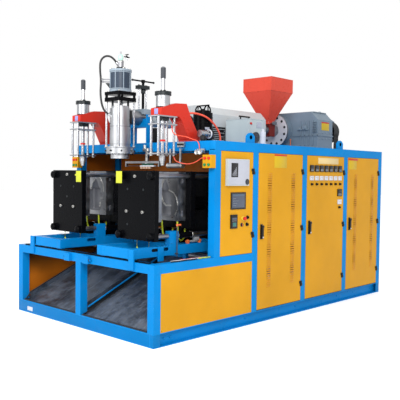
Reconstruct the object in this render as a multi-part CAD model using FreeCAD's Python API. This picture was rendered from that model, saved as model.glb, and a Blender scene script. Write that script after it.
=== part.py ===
import FreeCAD, Part
import math
import os

# Two-station extrusion blow moulding machine, in millimetres.
#
# X runs from the mould end to the motor end, Y from the door side to the far side, Z up.
# Pieces are drawn from the near bottom corner of the mould end, and main() moves them all so that
# the origin is the middle of the machine's footprint at floor level.

V = FreeCAD.Vector

# ---- overall sizes -------------------------------------------------------------------------
LENGTH = 3914.0
WIDTH = 2166.0
MID_Y = WIDTH / 2
CABINET_TOP = 1800.0
TABLE_TOP = 712.0
POST = 80.0
WALL = 5.0
BASE_HEIGHT = 122.0
BASE_FLANGE = 50.0
BASE_WEB = 8.0
TOP_BEAM = 90.0
CABINET_X = 748.0
COLUMN_X = (1308.0, 2156.0, 3004.0, LENGTH - POST)
PANEL = 3.0
REST_GAP = 0.3
SLIDE_GAP = 0.1

# ---- anchoring and lifting -----------------------------------------------------------------
ANCHOR_PAD = 120.0
ANCHOR_PAD_THICK = 12.0
ANCHOR_HOLE_R = 11.0
ANCHOR_INSET = 110.0
LUG_X = (1286.0, 2942.0)
LUG_WIDTH = 120.0
LUG_HEIGHT = 100.0
LUG_THICK = 20.0
LUG_HOLE_R = 20.0
LUG_HOLE_Z = 1855.0

# ---- mould stations ------------------------------------------------------------------------
AXIS_X = 505.0
BLOW_OFFSET = 630.0
CARRIAGE_REST = 549.0
CARRIAGE_OUT = BLOW_OFFSET - CARRIAGE_REST
RAIL_HEIGHT = 12.0
FRONT_RAIL_X = (20.0, 60.0)
REAR_RAIL_X = (1180.0, 1220.0)
CARRIAGE_LENGTH = 1240.0
CARRIAGE_HALF = 250.0
CARRIAGE_Z = (734.0, 823.0)
CARRIAGE_BEAM = 60.0
END_PLATE_OFFSET = (215.0, 280.0)
END_PLATE_THICK = 15.0
STOP_DEPTH = 30.0
STOP_WIDTH = 85.0
STOP_Z = (632.0, 705.0)
STOP_BOLT_Z = 668.0
STOP_BOLT_LENGTH = 22.0
STOP_BOLT_GAP = 0.6
MOULD_STROKE = 105.0
MOULD_THICK = 100.0
MOULD_HALF_WIDTH = 190.0
MOULD_Z = (1040.0, 1505.0)
PLATEN_HALF = 260.0
PLATEN_Z = (870.0, 1512.0)
PLATEN_THICK = 50.0
REAR_PLATEN_THICK = 60.0
REAR_PLATEN_BOTTOM = 965.0
TIE_R = 22.5
TIE_Y = 220.0
TIE_Z = (910.0, 1465.0)
TIE_END_X = 1190.0
TIE_NUT_R = 37.0
TIE_NUT_LENGTH = 35.0
YOKE_X = (1120.0, 1170.0)
CLAMP_BODY_R = 70.0
CLAMP_BORE_R = 50.0
CLAMP_ROD_R = 30.0
CLAMP_AXIS_Z = 1190.0
CLAMP_BODY_X = 800.0
CLAMP_HEAD = 20.0
BEARING_X = (450.0, 560.0)
GUIDE_Y = (80.0, 130.0)
GUIDE_TOP = 868.0
NECK_R = 27.0
GUIDE_PIN_R = 10.0
FRONT_MOULD_X = AXIS_X - MOULD_STROKE - MOULD_THICK
REAR_MOULD_X = AXIS_X + MOULD_STROKE
FRONT_PLATEN_X = FRONT_MOULD_X - PLATEN_THICK
REAR_PLATEN_X = REAR_MOULD_X + MOULD_THICK

# ---- blow units and arms -------------------------------------------------------------------
PIN_STROKE = 100.0
PIN_Z = 1565.0
PIN_NOSE_R = 25.0
PIN_NOSE_LENGTH = 95.0
PIN_SHOULDER_R = 33.0
PIN_SHOULDER_Z = 1607.0
STEM_R = 18.0
CAGE_HALF_X = 120.0
CAGE_HALF_Y = 72.0
CAGE_ROD = (100.0, 50.0)
CAGE_ROD_R = 12.0
CAGE_PLATES_Z = (1668.0, 1944.0, 2018.0)
CAGE_PLATE_THICK = 12.0
ARM_BOTTOM = 2030.0
ARM_SEAT = 2115.0
BLOW_BODY_R = 66.0
BLOW_BORE_R = 58.0
BLOW_BODY_TOP = 2220.0
BLOW_CAP_R = 78.0
BLOW_CAP_TOP = 2256.0
BLOW_NUT_R = 26.0
BLOW_NUT_TOP = 2272.0
BLOW_WALL = 10.0
PISTON_BELOW_CAP = 28.0
PISTON_THICK = 14.0
ADJUSTER_Z = (2380.0, 2480.0)
ADJUSTER_R = 24.0

# ---- die head ------------------------------------------------------------------------------
DIE_Z = 1634.0
DIE_R = 93.0
DIE_RING_Z = (1682.0, 1743.0)
DIE_RING_R = 140.0
RING_PLATE_R = 157.0
HEAD_BODY_Z = (1751.0, 2138.0)
HEAD_BODY_R = 104.0
HEAD_ROD_OFFSET = 98.0
HEAD_ROD_R = 10.0
HEAD_PLATE_HALF = 112.0
HEAD_PLATES_Z = ((2204.0, 2243.0), (2269.0, 2301.0))
HEAD_CYLINDER_Z = (2301.0, 2525.0)
HEAD_CYLINDER_R = 104.0
HEAD_FLANGE_R = 112.0
HEAD_BORE_R = 80.0
PARISON_ROD_R = 10.0
CORE_R = 26.0
PARISON_RANGE = 15.0
MACHINE_TOP = 2706.0

# ---- extruder ------------------------------------------------------------------------------
BARREL_Z = 2061.0
BARREL_R = 70.0
SCREW_R = 45.0
SCREW_CORE_R = 34.0
SCREW_PITCH = 90.0
FLIGHT_WIDTH = 10.0
SCREW_FIT = 0.1
BARREL_START_X = AXIS_X + HEAD_BODY_R
HOPPER_X = 2922.0
FEED_LENGTH = 110.0
FEED_HALF_Y = 77.0
FEED_Z = (1980.0, 2133.0)
THROAT_HALF = 35.0
FLANGE_X = 3066.0
FLANGE_THICK = 30.0
FLANGE_R = 205.0
FLANGE_PCD_R = 168.0
FLANGE_HOLES = 12
FLANGE_BOLT_R = 11.0
HEATER_R = 84.0
HEATER_LENGTH = 130.0
HEATER_START = (860.0, 1060.0, 1260.0)
COVER_X = (1480.0, 2650.0)
COVER_HALF_Y = 183.0
COVER_SHOULDER_Z = 2165.0
COVER_TOP_Z = 2250.0
COVER_TOP_HALF = 100.0
HOPPER_HALF = 225.0
HOPPER_BAND_Z = (2540.0, 2700.0)
HOPPER_NECK_HALF = 55.0
HOPPER_NECK_Z = 2165.0
HOPPER_FLANGE_HALF = 75.0
HOPPER_WALL = 4.0
GATE_THICK = 7.4
GATE_HALF = 45.0
GATE_TRAVEL = 95.0
GATE_SLOT_Z = (2142.0, 2150.0)

# ---- gearbox and drives --------------------------------------------------------------------
GEARBOX_X = (3190.0, 3530.0)
GEARBOX_Y = (MID_Y - 583.0, MID_Y + 217.0)
GEARBOX_BOTTOM = 1850.0
GEARBOX_SHOULDER = 2190.0
GEARBOX_TOP = 2290.0
GEARBOX_ROOF_INSET = 100.0
GEARBOX_WALL = 25.0
RIB_COUNT = 4
RIB_PITCH = 60.0
RIB_OUT = 12.0
RIB_THICK = 14.0
PULLEY_Y = MID_Y - 443.0
PULLEY_R = 140.0
PULLEY_X = (3570.0, 3700.0)
SHAFT_R = 30.0
MOTOR_Z = 420.0
MOTOR_R = 180.0
MOTOR_X = (3110.0, 3530.0)
MOTOR_PULLEY_R = 90.0
BELT_WIDTH = 16.0
BELT_COUNT = 4
BELT_PITCH = 26.0
BELT_THICK = 10.0

# ---- doors ---------------------------------------------------------------------------------
DOOR_DEPTH = 25.0
DOOR_Z = (130.0, 1706.0)
DOORS = {"door_1": (1394.0, 2150.0), "door_2": (2242.0, 2998.0), "door_3": (3090.0, LENGTH - 86.0)}
CONTROL_DOOR_X = (831.0, 1302.0)
CONTROL_DOOR_Z = (716.0, 1706.0)
HINGE_OUT = 7.0
HINGE_STEP = 3.0
HINGE_R = 6.0
HINGE_PIN_R = 3.0
HINGE_PIN_FIT = 0.1
HINGE_HALF = 28.0
HINGE_LEAF = 24.0
HINGE_Z = (313.0, 920.0, 1525.0)
CONTROL_HINGE_Z = (896.0, 1520.0)
HANDLE_INSET = 52.0
HANDLE_Z = 916.0
HANDLE_HALF = 75.0
HANDLE_WIDTH = 35.0
HANDLE_PIVOT_Z = HANDLE_Z + 52.0
LOUVRE_PITCH = 25.0
LOUVRE_WIDTH = 67.0
LOUVRE_SLOT = 6.0
LOUVRE_INSETS = (149.0, 556.0)
LOUVRE_Z = (350.0, 1500.0)

# ---- controls ------------------------------------------------------------------------------
ESTOP_XZ = (1151.0, 1063.0)
ESTOP_R = 17.5
ESTOP_OUT = 38.0
ESTOP_TRAVEL = 5.0

# ---- the machine's extent, which fixes the origin -------------------------------------------
FRONT_X = -STOP_DEPTH
NEAR_Y = -ESTOP_OUT
PENDANT_Y = (-5.0, 105.0)
FAR_Y = WIDTH - PENDANT_Y[0]
ORIGIN = V((FRONT_X + LENGTH) / 2, (NEAR_Y + FAR_Y) / 2, 0)


# ---- shape helpers -------------------------------------------------------------------------
def block(x, y, z):
    """A box between the two limits given for each axis."""
    size = [max(limits) - min(limits) for limits in (x, y, z)]
    return Part.makeBox(*size, V(min(x), min(y), min(z)))


AXES = {"x": V(1, 0, 0), "y": V(0, 1, 0), "z": V(0, 0, 1)}


def rod(axis, point, radius, start, end):
    """A cylinder along an axis; point gives the other two coordinates in order."""
    low = min(start, end)
    base = {"x": V(low, *point), "z": V(*point, low), "y": V(point[0], low, point[-1])}[axis]
    return Part.makeCylinder(radius, abs(end - start), base, AXES[axis])


def ring(axis, point, outer, inner, start, end):
    """A tube along an axis."""
    return rod(axis, point, outer, start, end).cut(rod(axis, point, inner, start - 1, end + 1))


def tube_x(x, y, z, wall=WALL):
    return block(x, y, z).cut(block((x[0] - 1, x[1] + 1), shrink(y, wall), shrink(z, wall)))


def tube_y(x, y, z, wall=WALL):
    return block(x, y, z).cut(block(shrink(x, wall), (y[0] - 1, y[1] + 1), shrink(z, wall)))


def tube_z(x, y, z, wall=WALL):
    return block(x, y, z).cut(block(shrink(x, wall), shrink(y, wall), (z[0] - 1, z[1] + 1)))


def shrink(limits, amount):
    return (limits[0] + amount, limits[1] - amount)


def around(middle, half):
    return (middle - half, middle + half)


def far(limits):
    """The same Y limits on the far side of the machine."""
    return (WIDTH - limits[1], WIDTH - limits[0])


def profile_y(points, y):
    """A solid whose outline is given in X and Z, between two Y limits."""
    corners = [V(px, min(y), pz) for px, pz in points]
    face = Part.Face(Part.makePolygon(corners + corners[:1]))
    return face.extrude(V(0, abs(y[1] - y[0]), 0))


def profile_x(points, x):
    """A solid whose outline is given in Y and Z, between two X limits."""
    corners = [V(min(x), py, pz) for py, pz in points]
    face = Part.Face(Part.makePolygon(corners + corners[:1]))
    return face.extrude(V(abs(x[1] - x[0]), 0, 0))


def turned(axis_point, steps, axis="z"):
    """A turned solid: steps are (radius, start, end) along the axis, one above the other."""
    parts = [rod(axis, axis_point, radius, start, end) for radius, start, end in steps]
    return parts[0].multiFuse(parts[1:]).removeSplitter() if len(parts) > 1 else parts[0]


def group(pieces):
    return Part.makeCompound(pieces)


def mirrored(shape):
    """The far side's copy of a near piece."""
    return shape.mirror(V(0, MID_Y, 0), V(0, 1, 0))


def hose(points, diameter):
    """A hose along straight runs joined by arcs that touch them."""
    corners = [V(*p) for p in points]
    edges = []
    start = corners[0]
    for before, corner, after in zip(corners, corners[1:], corners[2:]):
        run_in = corner - before
        run_out = after - corner
        half_turn = run_in.getAngle(run_out) / 2
        reach = 0.45 * min(run_in.Length, run_out.Length)
        radius = reach / math.tan(half_turn)
        first = corner - run_in.normalize() * reach
        last = corner + run_out.normalize() * reach
        inward = (first + last) * 0.5 - corner
        middle = corner + inward.normalize() * (radius / math.cos(half_turn) - radius)
        edges.append(Part.makeLine(start, first))
        edges.append(Part.Arc(first, middle, last).toShape())
        start = last
        print("hose bend radius %.0f, diameter %.0f" % (radius, diameter))
    edges.append(Part.makeLine(start, corners[-1]))
    path = Part.Wire(edges)
    circle = Part.makeCircle(diameter / 2, corners[0], corners[1] - corners[0])
    print("hose length %.0f" % path.Length)
    return path.makePipe(Part.Face(Part.Wire(circle)))


# ---- frames --------------------------------------------------------------------------------
def channel(length_limits, outer, inner):
    """A channel along X whose web stands on the inner side and whose flanges point outward."""
    web = sorted((inner, inner + math.copysign(BASE_WEB, outer - inner)))
    edge = sorted((outer, inner))
    parts = [block(length_limits, web, (0, BASE_HEIGHT))]
    for z in ((0, BASE_WEB), (BASE_HEIGHT - BASE_WEB, BASE_HEIGHT)):
        parts.append(block(length_limits, edge, z))
    return parts[0].multiFuse(parts[1:]).removeSplitter()


def end_channel(outer, inner):
    """A channel across the machine, between the two long ones."""
    across = channel((BASE_FLANGE, WIDTH - BASE_FLANGE), outer, inner)
    across.rotate(V(0, 0, 0), V(0, 0, 1), 90)
    return across


def base_frame():
    pieces = [channel((0, LENGTH), 0, BASE_FLANGE), channel((0, LENGTH), WIDTH, WIDTH - BASE_FLANGE)]
    inside = (BASE_FLANGE, WIDTH - BASE_FLANGE)
    front = end_channel(0, -BASE_FLANGE)
    rear = end_channel(-LENGTH, BASE_FLANGE - LENGTH)
    pieces += [front, rear]
    cross_x = (1160.0,) + COLUMN_X[:3]
    for x in cross_x:
        pieces.append(tube_y((x, x + POST), inside, (BASE_HEIGHT - POST, BASE_HEIGHT)))
    for x in (BASE_FLANGE, LENGTH - BASE_FLANGE - ANCHOR_PAD):
        for y in (inside[0], inside[1] - ANCHOR_PAD):
            pad = block((x, x + ANCHOR_PAD), (y, y + ANCHOR_PAD), (0, ANCHOR_PAD_THICK))
            middle = (ANCHOR_INSET if x < LENGTH / 2 else LENGTH - ANCHOR_INSET,
                      ANCHOR_INSET if y < MID_Y else WIDTH - ANCHOR_INSET)
            pieces.append(pad.cut(rod("z", middle, ANCHOR_HOLE_R, -1, ANCHOR_PAD_THICK + 1)))
    return group(pieces)


def table_frame():
    beam_z = (TABLE_TOP - POST, TABLE_TOP)
    post_z = (BASE_HEIGHT, beam_z[0])
    near = (0.0, POST)
    middle = around(MID_Y, POST / 2)
    side_end = COLUMN_X[0]
    pieces = [tube_z((0, POST), y, post_z) for y in (near, middle, far(near))]
    pieces.append(tube_y((0, POST), (0, WIDTH), beam_z))
    for y in (near, far(near)):
        pieces.append(tube_x((POST, side_end), y, beam_z))
    rear = (REAR_RAIL_X[0] - 20, REAR_RAIL_X[0] - 20 + POST)
    pieces.append(tube_y(rear, (POST, WIDTH - POST), beam_z))
    rail_y = (100.0, WIDTH - 100.0)
    rail_z = (TABLE_TOP, TABLE_TOP + RAIL_HEIGHT)
    for x in (FRONT_RAIL_X, REAR_RAIL_X):
        pieces.append(block(x, rail_y, rail_z))
    pieces += travel_stops()
    return group(pieces)


def travel_stops():
    """Two blocks on the table's front, whose bolts meet the carriages' end plates."""
    meet = MID_Y - END_PLATE_OFFSET[0]
    start = meet + STOP_BOLT_LENGTH
    body = block((-STOP_DEPTH, 0), (start, start + STOP_WIDTH), STOP_Z)
    bolt = turned_bolt((-STOP_DEPTH / 2, STOP_BOLT_Z), meet + STOP_BOLT_GAP, start)
    near_stop = body.fuse(bolt).removeSplitter()
    return [near_stop, mirrored(near_stop)]


def turned_bolt(centre, start, end):
    head = rod("y", centre, 11.0, start, start + 8)
    shank = rod("y", centre, 6.0, start + 8, end)
    return head.fuse(shank)


def lug(x, y):
    """A rounded lifting lug with a hole across the machine."""
    half = LUG_WIDTH / 2
    z = CABINET_TOP
    plate = block(around(x, half), around(y, LUG_THICK / 2), (z, z + LUG_HEIGHT - half / 2))
    cap = rod("y", (x, z + LUG_HEIGHT - half), half, y - LUG_THICK / 2, y + LUG_THICK / 2)
    hole = rod("y", (x, LUG_HOLE_Z), LUG_HOLE_R, y - LUG_THICK, y + LUG_THICK)
    low = block(around(x, half * 2), around(y, LUG_THICK), (z - 200, z))
    return plate.fuse(cap).cut(hole).cut(low).removeSplitter()


DECK_THICK = 6.0
BELT_SLOT_HALF = 160.0


def cabinet_frame():
    near = (0.0, POST)
    top_z = (CABINET_TOP - TOP_BEAM, CABINET_TOP)
    pieces = []
    for y in (near, far(near)):
        pieces.append(tube_z((CABINET_X, CABINET_X + POST), y, (TABLE_TOP, top_z[0])))
        for x in COLUMN_X:
            pieces.append(tube_z((x, x + POST), y, (BASE_HEIGHT, top_z[0])))
        pieces.append(tube_x((CABINET_X, LENGTH), y, top_z))
    inside = (POST, WIDTH - POST)
    for x in (CABINET_X, COLUMN_X[-1]):
        pieces.append(tube_y((x, x + POST), inside, top_z))
    deck_z = (CABINET_TOP - DECK_THICK, CABINET_TOP)
    joist_z = (deck_z[0] - POST, deck_z[0])
    for x in COLUMN_X[:3]:
        pieces.append(tube_y((x, x + POST), inside, joist_z))
    deck = block((CABINET_X + POST, COLUMN_X[-1]), inside, deck_z)
    pieces.append(deck.cut(block(PULLEY_X, around(PULLEY_Y, BELT_SLOT_HALF), around(CABINET_TOP, 20))))
    for x in LUG_X:
        for y in (30.0, WIDTH - 30.0):
            pieces.append(lug(x, y))
    return group(pieces)


def louvre_slots(x, z_limits, y):
    """Vent slots cut through a panel, in one column that starts at x."""
    count = int((z_limits[1] - z_limits[0]) / LOUVRE_PITCH) + 1
    slots = []
    for i in range(count):
        z = z_limits[0] + i * LOUVRE_PITCH
        slots.append(block((x, x + LOUVRE_WIDTH), y, (z, z + LOUVRE_SLOT)))
    return slots


PARTITION_X = 1340.0


def side_panels():
    """Fixed sheet panels: near lower, the whole far side, the end, and the walls behind the moulds."""
    near = (1.0, 1.0 + PANEL)
    bays = [(COLUMN_X[i] + POST, COLUMN_X[i + 1]) for i in range(3)]
    low_z = (BASE_HEIGHT, TABLE_TOP - POST)
    high_z = (BASE_HEIGHT, CABINET_TOP - TOP_BEAM)
    upper_z = (TABLE_TOP, CABINET_TOP - TOP_BEAM)
    pieces = []
    for y in (near, far(near)):
        pieces.append(block((POST, COLUMN_X[0]), y, low_z))
    pieces.append(block((CABINET_X + POST, COLUMN_X[0]), far(near), upper_z))
    for bay in bays:
        panel = block(bay, far(near), high_z)
        slots = louvre_slots(bay[0] + LOUVRE_INSETS[0], LOUVRE_Z, (WIDTH - 10, WIDTH))
        pieces.append(panel.cut(group(slots)))
    inside = (POST, WIDTH - POST)
    pieces.append(block((LENGTH - 1 - PANEL, LENGTH - 1), inside, high_z))
    pieces.append(block((PARTITION_X, PARTITION_X + PANEL), inside, (BASE_HEIGHT, joist_bottom())))
    return group(pieces)


def joist_bottom():
    return CABINET_TOP - DECK_THICK - POST


def discharge_chutes():
    """Two sloped sheets from the front sill up to the rear table beam."""
    thick = 4.0
    rear_x = REAR_RAIL_X[0] - 20
    under = TABLE_TOP - POST
    outline = [(10, BASE_HEIGHT), (50, BASE_HEIGHT), (rear_x - 10, under - 24), (rear_x + 60, under - 24),
               (rear_x + 60, under), (rear_x, under), (rear_x, under - 20), (rear_x - 12, under - 20),
               (49, BASE_HEIGHT + thick), (10, BASE_HEIGHT + thick)]
    sheet_y = (POST + 10, MID_Y - POST / 2 - 3)
    sheet = profile_y(outline, sheet_y)
    lip = 50.0
    sides = []
    for y in ((sheet_y[0], sheet_y[0] + 3), (sheet_y[1] - 3, sheet_y[1])):
        side = [(85, BASE_HEIGHT + 19), (rear_x - 60, under - 48), (rear_x - 60, under - 48 + lip),
                (85, BASE_HEIGHT + 19 + lip)]
        sides.append(profile_y(side, y))
    near_chute = sheet.multiFuse(sides).removeSplitter()
    return group([near_chute, mirrored(near_chute)])


# ---- mould stations ------------------------------------------------------------------------
STATION_Y = MID_Y - CARRIAGE_REST


def station(shapes, side):
    """Pieces drawn about the near carriage's middle, for the near or the far station."""
    moved = [shape.translated(V(0, STATION_Y, 0)) for shape in shapes]
    return group(moved if side == "near" else [mirrored(shape) for shape in moved])


DRIVE_X = {"near": 900.0, "far": 1040.0}
DRIVE_Z = 665.0
DRIVE_ROD_R = 18.0
DRIVE_BODY_R = 35.0
DRIVE_BODY_LENGTH = 710.0
DRIVE_BRACKET = 126.0
DRIVE_BODY_Y = (WIDTH - POST - DRIVE_BRACKET - DRIVE_BODY_LENGTH, WIDTH - POST - DRIVE_BRACKET)
DRIVE_ROD_IN = 121.0
DRIVE_ROD_END = DRIVE_BODY_Y[0] + DRIVE_ROD_IN


def carriage(side):
    z = CARRIAGE_Z
    half = CARRIAGE_HALF
    beam = CARRIAGE_BEAM
    inner = (-half + beam, half - beam)
    pieces = []
    for sign in (-1, 1):
        y = tuple(sorted((sign * half, sign * (half - beam))))
        rail = tube_x((0, CARRIAGE_LENGTH), y, z)
        window = block((340, 420), around(sign * half, 20), (779, 811))
        ends = [rod("y", (x, 795.0), 16.0, sign * half - 20, sign * half + 20) for x in (340.0, 420.0)]
        pieces.append(rail.cut(window.multiFuse(ends)))
    cross_x = ((0, beam), (560, 640), (860, 940), (CARRIAGE_LENGTH - beam, CARRIAGE_LENGTH))
    for x in cross_x:
        pieces.append(tube_y(x, inner, z))
    for x in (FRONT_RAIL_X, REAR_RAIL_X):
        for y in ((-240, -150), (150, 240)):
            pieces.append(block(x, y, (TABLE_TOP + RAIL_HEIGHT + REST_GAP, z[0])))
    outer = (-END_PLATE_OFFSET[1], -END_PLATE_OFFSET[0])
    pieces.append(block((-END_PLATE_THICK, 0), outer, (644, 823)))
    for sign in (-1, 1):
        bracket = block(BEARING_X, around(sign * TIE_Y, 30), (z[1], z[1] + 132))
        hole = rod("x", (sign * TIE_Y, TIE_Z[0]), TIE_R + SLIDE_GAP, BEARING_X[0] - 1, BEARING_X[1] + 1)
        pieces.append(bracket.cut(hole))
        sleeve = ring("x", (sign * TIE_Y, TIE_Z[0]), 29.0, TIE_R + SLIDE_GAP, BEARING_X[1], 773)
        pieces.append(sleeve)
        y = tuple(sorted((sign * GUIDE_Y[0], sign * GUIDE_Y[1])))
        pieces.append(block((580, 900), y, (z[1], GUIDE_TOP)))
    x = DRIVE_X[side]
    pieces.append(block(around(x, 20), (-30, 10), (DRIVE_Z - 40, z[0])))
    rod_end = DRIVE_ROD_END - STATION_Y
    pieces.append(turned((x, DRIVE_Z), [(DRIVE_ROD_R, 10, rod_end), (DRIVE_BODY_R - 8.1, rod_end - 15, rod_end)],
                         "y"))
    return station(pieces, side)


def front_clamp(side):
    """Front platen, four tie bars, rear yoke and the clamp cylinder's body: they move as one."""
    platen_x = (FRONT_PLATEN_X, FRONT_MOULD_X)
    y = around(0, PLATEN_HALF)
    holes = []
    bars = []
    bodies = []
    for ty in (-TIE_Y, TIE_Y):
        for tz in TIE_Z:
            holes.append(rod("x", (ty, tz), TIE_R, platen_x[0] - 1, YOKE_X[1] + 1))
            bars.append(rod("x", (ty, tz), TIE_R, platen_x[0], TIE_END_X))
            for start, end in ((platen_x[0] - TIE_NUT_LENGTH, platen_x[0]), (YOKE_X[1], TIE_END_X + 15)):
                inner = TIE_R if start > platen_x[1] else 8.0
                nut = ring("x", (ty, tz), TIE_NUT_R, inner, start, end)
                bodies.append(nut)
    platen = block(platen_x, y, PLATEN_Z).cut(group(holes))
    yoke = block(YOKE_X, y, PLATEN_Z).cut(group(holes))
    cylinder = ring("x", (0, CLAMP_AXIS_Z), CLAMP_BODY_R, CLAMP_BORE_R, CLAMP_BODY_X + CLAMP_HEAD, YOKE_X[0])
    gland = ring("x", (0, CLAMP_AXIS_Z), CLAMP_BODY_R + 15, CLAMP_ROD_R + SLIDE_GAP, CLAMP_BODY_X,
                 CLAMP_BODY_X + CLAMP_HEAD)
    return station([platen, yoke, cylinder, gland] + bars + bodies, side)


def rear_clamp(side):
    """Rear platen on its feet, with the clamp rod and piston."""
    x = (REAR_PLATEN_X, REAR_PLATEN_X + REAR_PLATEN_THICK)
    platen = block(x, around(0, PLATEN_HALF), (REAR_PLATEN_BOTTOM, PLATEN_Z[1]))
    feet = []
    for sign in (-1, 1):
        platen = platen.cut(rod("x", (sign * TIE_Y, TIE_Z[1]), TIE_R + SLIDE_GAP, x[0] - 1, x[1] + 1))
        y = tuple(sorted((sign * GUIDE_Y[0], sign * GUIDE_Y[1])))
        feet.append(block((x[0], x[1] + 20), y, (GUIDE_TOP + REST_GAP, REAR_PLATEN_BOTTOM)))
    piston_x = CLAMP_BODY_X + CLAMP_HEAD + 250
    thrust = turned((0, CLAMP_AXIS_Z), [(CLAMP_ROD_R, x[1], piston_x + 20),
                                        (CLAMP_BORE_R - 0.3, piston_x, piston_x + 20)], "x")
    return station([platen, thrust] + feet, side)


def jug():
    """The bottle's shape on the parting plane: body, sloped shoulder and neck."""
    body = block(around(AXIS_X, 62), around(0, 95), (1085, 1330))
    body = body.makeFillet(24, body.Edges)
    shoulder = Part.makeCone(78, NECK_R, 100, V(AXIS_X, 0, 1318), V(0, 0, 1))
    neck = rod("z", (AXIS_X, 0), NECK_R, 1400, MOULD_Z[1] + 1)
    grip = rod("x", (112, 1250), 26, AXIS_X - 18, AXIS_X + 18)
    return body.multiFuse([shoulder, neck, grip])


def mould(side, front):
    """Half of a mould at the parting plane, cut by the bottle and moved to its open place."""
    x = (AXIS_X - MOULD_THICK, AXIS_X) if front else (AXIS_X, AXIS_X + MOULD_THICK)
    half = block(x, around(0, MOULD_HALF_WIDTH), MOULD_Z).cut(jug())
    for y in around(0, MOULD_HALF_WIDTH - 30):
        for z in shrink(MOULD_Z, 50):
            if front:
                half = half.fuse(rod("x", (y, z), GUIDE_PIN_R, AXIS_X - 1, AXIS_X + 18))
            else:
                half = half.cut(rod("x", (y, z), GUIDE_PIN_R + 0.5, AXIS_X - 1, AXIS_X + 20))
    shift = -MOULD_STROKE if front else MOULD_STROKE
    return station([half.translated(V(shift, 0, 0))], side)


HOSE_D = 17.0
WATER_HOSES = (
    ((625, -168, 1040), (625, -168, 850), (748, -148, 850), (748, -148, 965)),
    ((625, 45, 1040), (625, 45, 850), (748, 20, 850), (748, 20, 965)),
)


def water_hoses(side):
    """Two cooling water loops under the rear mould, from the mould to its platen."""
    return station([hose(points, HOSE_D) for points in WATER_HOSES], side)


def drive_cylinders():
    """The carriages' cylinders under the table, each on a bracket from the side beam."""
    middle = (DRIVE_X["near"], DRIVE_Z)
    y = DRIVE_BODY_Y
    bore = rod("y", middle, DRIVE_BODY_R - 8, y[0] + 15, y[1] - 15)
    body = rod("y", middle, DRIVE_BODY_R, *y).cut(bore)
    body = body.cut(rod("y", middle, DRIVE_ROD_R + SLIDE_GAP, y[0] - 1, y[0] + 20))
    bracket = block(around(middle[0], 30), (y[1], WIDTH - POST), around(DRIVE_Z, 30))
    near = body.fuse(bracket).removeSplitter()
    shift = V(DRIVE_X["far"] - DRIVE_X["near"], 0, 0)
    return group([near, mirrored(near).translated(shift)])


# ---- blow units ----------------------------------------------------------------------------
PIN_Y = MID_Y - BLOW_OFFSET


def both_sides(pieces):
    return group(list(pieces) + [mirrored(piece) for piece in pieces])


def blow_arms():
    """Goose-neck arms that stand on the deck and carry the blow units."""
    outline = [(418, ARM_BOTTOM), (418, 2098), (600, 2152), (748, 2160), (800, 2050), (894, 1902),
               (965, 1815), (965, CABINET_TOP), (785, CABINET_TOP), (785, 1815), (690, 1990),
               (650, ARM_BOTTOM)]
    half = 73.0
    cheek = 10.0
    solid = profile_y(outline, around(PIN_Y, half))
    pocket = [(630, ARM_BOTTOM + 12), (660, ARM_BOTTOM + 12), (702, 1997), (795, 1825), (940, 1825),
              (882, 1897), (790, 2044), (742, 2146), (620, 2138)]
    for y in ((PIN_Y - half, PIN_Y - cheek), (PIN_Y + cheek, PIN_Y + half)):
        inner = shrink(y, cheek)
        solid = solid.cut(profile_y(pocket, inner))
    middle = (AXIS_X, PIN_Y)
    solid = solid.cut(rod("z", middle, BLOW_BODY_R + REST_GAP, ARM_SEAT, BLOW_BODY_TOP))
    solid = solid.cut(rod("z", middle, STEM_R + 6, ARM_BOTTOM - 1, ARM_SEAT + 1))
    return both_sides([solid])


def blow_units():
    """Guide cages under the arms, and the pneumatic cylinders on top of them."""
    middle = (AXIS_X, PIN_Y)
    pieces = []
    low, _, high = CAGE_PLATES_Z
    corners = [(AXIS_X + sx * CAGE_ROD[0], PIN_Y + sy * CAGE_ROD[1]) for sx in (-1, 1) for sy in (-1, 1)]
    for z in CAGE_PLATES_Z:
        plate = block(around(AXIS_X, CAGE_HALF_X), around(PIN_Y, CAGE_HALF_Y), (z, z + CAGE_PLATE_THICK))
        plate = plate.cut(rod("z", middle, STEM_R + SLIDE_GAP, z - 1, z + CAGE_PLATE_THICK + 1))
        for corner in corners:
            plate = plate.cut(rod("z", corner, CAGE_ROD_R, z - 1, z + CAGE_PLATE_THICK + 1))
        pieces.append(plate)
    for corner in corners:
        pieces.append(rod("z", corner, CAGE_ROD_R, low, high + CAGE_PLATE_THICK))
    body = turned(middle, [(BLOW_BODY_R, ARM_SEAT, BLOW_BODY_TOP), (BLOW_CAP_R, BLOW_BODY_TOP, BLOW_CAP_TOP),
                           (BLOW_NUT_R, BLOW_CAP_TOP, BLOW_NUT_TOP)])
    body = body.cut(rod("z", middle, BLOW_BORE_R, ARM_SEAT + BLOW_WALL, BLOW_CAP_TOP - BLOW_WALL))
    body = body.cut(rod("z", middle, STEM_R + SLIDE_GAP, ARM_SEAT - 1, BLOW_NUT_TOP + 1))
    pieces.append(body)
    return both_sides(pieces)


def blow_pin(side):
    """Nose, stem, piston and the stroke adjuster on top."""
    middle = (AXIS_X, PIN_Y)
    nose_top = PIN_Z + PIN_NOSE_LENGTH
    piston = BLOW_CAP_TOP - PISTON_BELOW_CAP
    pin = turned(middle, [(PIN_NOSE_R - 6, PIN_Z, PIN_Z + 20), (PIN_NOSE_R, PIN_Z + 20, PIN_SHOULDER_Z),
                          (PIN_SHOULDER_R, PIN_SHOULDER_Z, nose_top), (STEM_R, nose_top, ADJUSTER_Z[0]),
                          (BLOW_BORE_R - REST_GAP, piston, piston + PISTON_THICK),
                          (ADJUSTER_R, *ADJUSTER_Z)])
    return pin if side == "near" else mirrored(pin)


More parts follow.
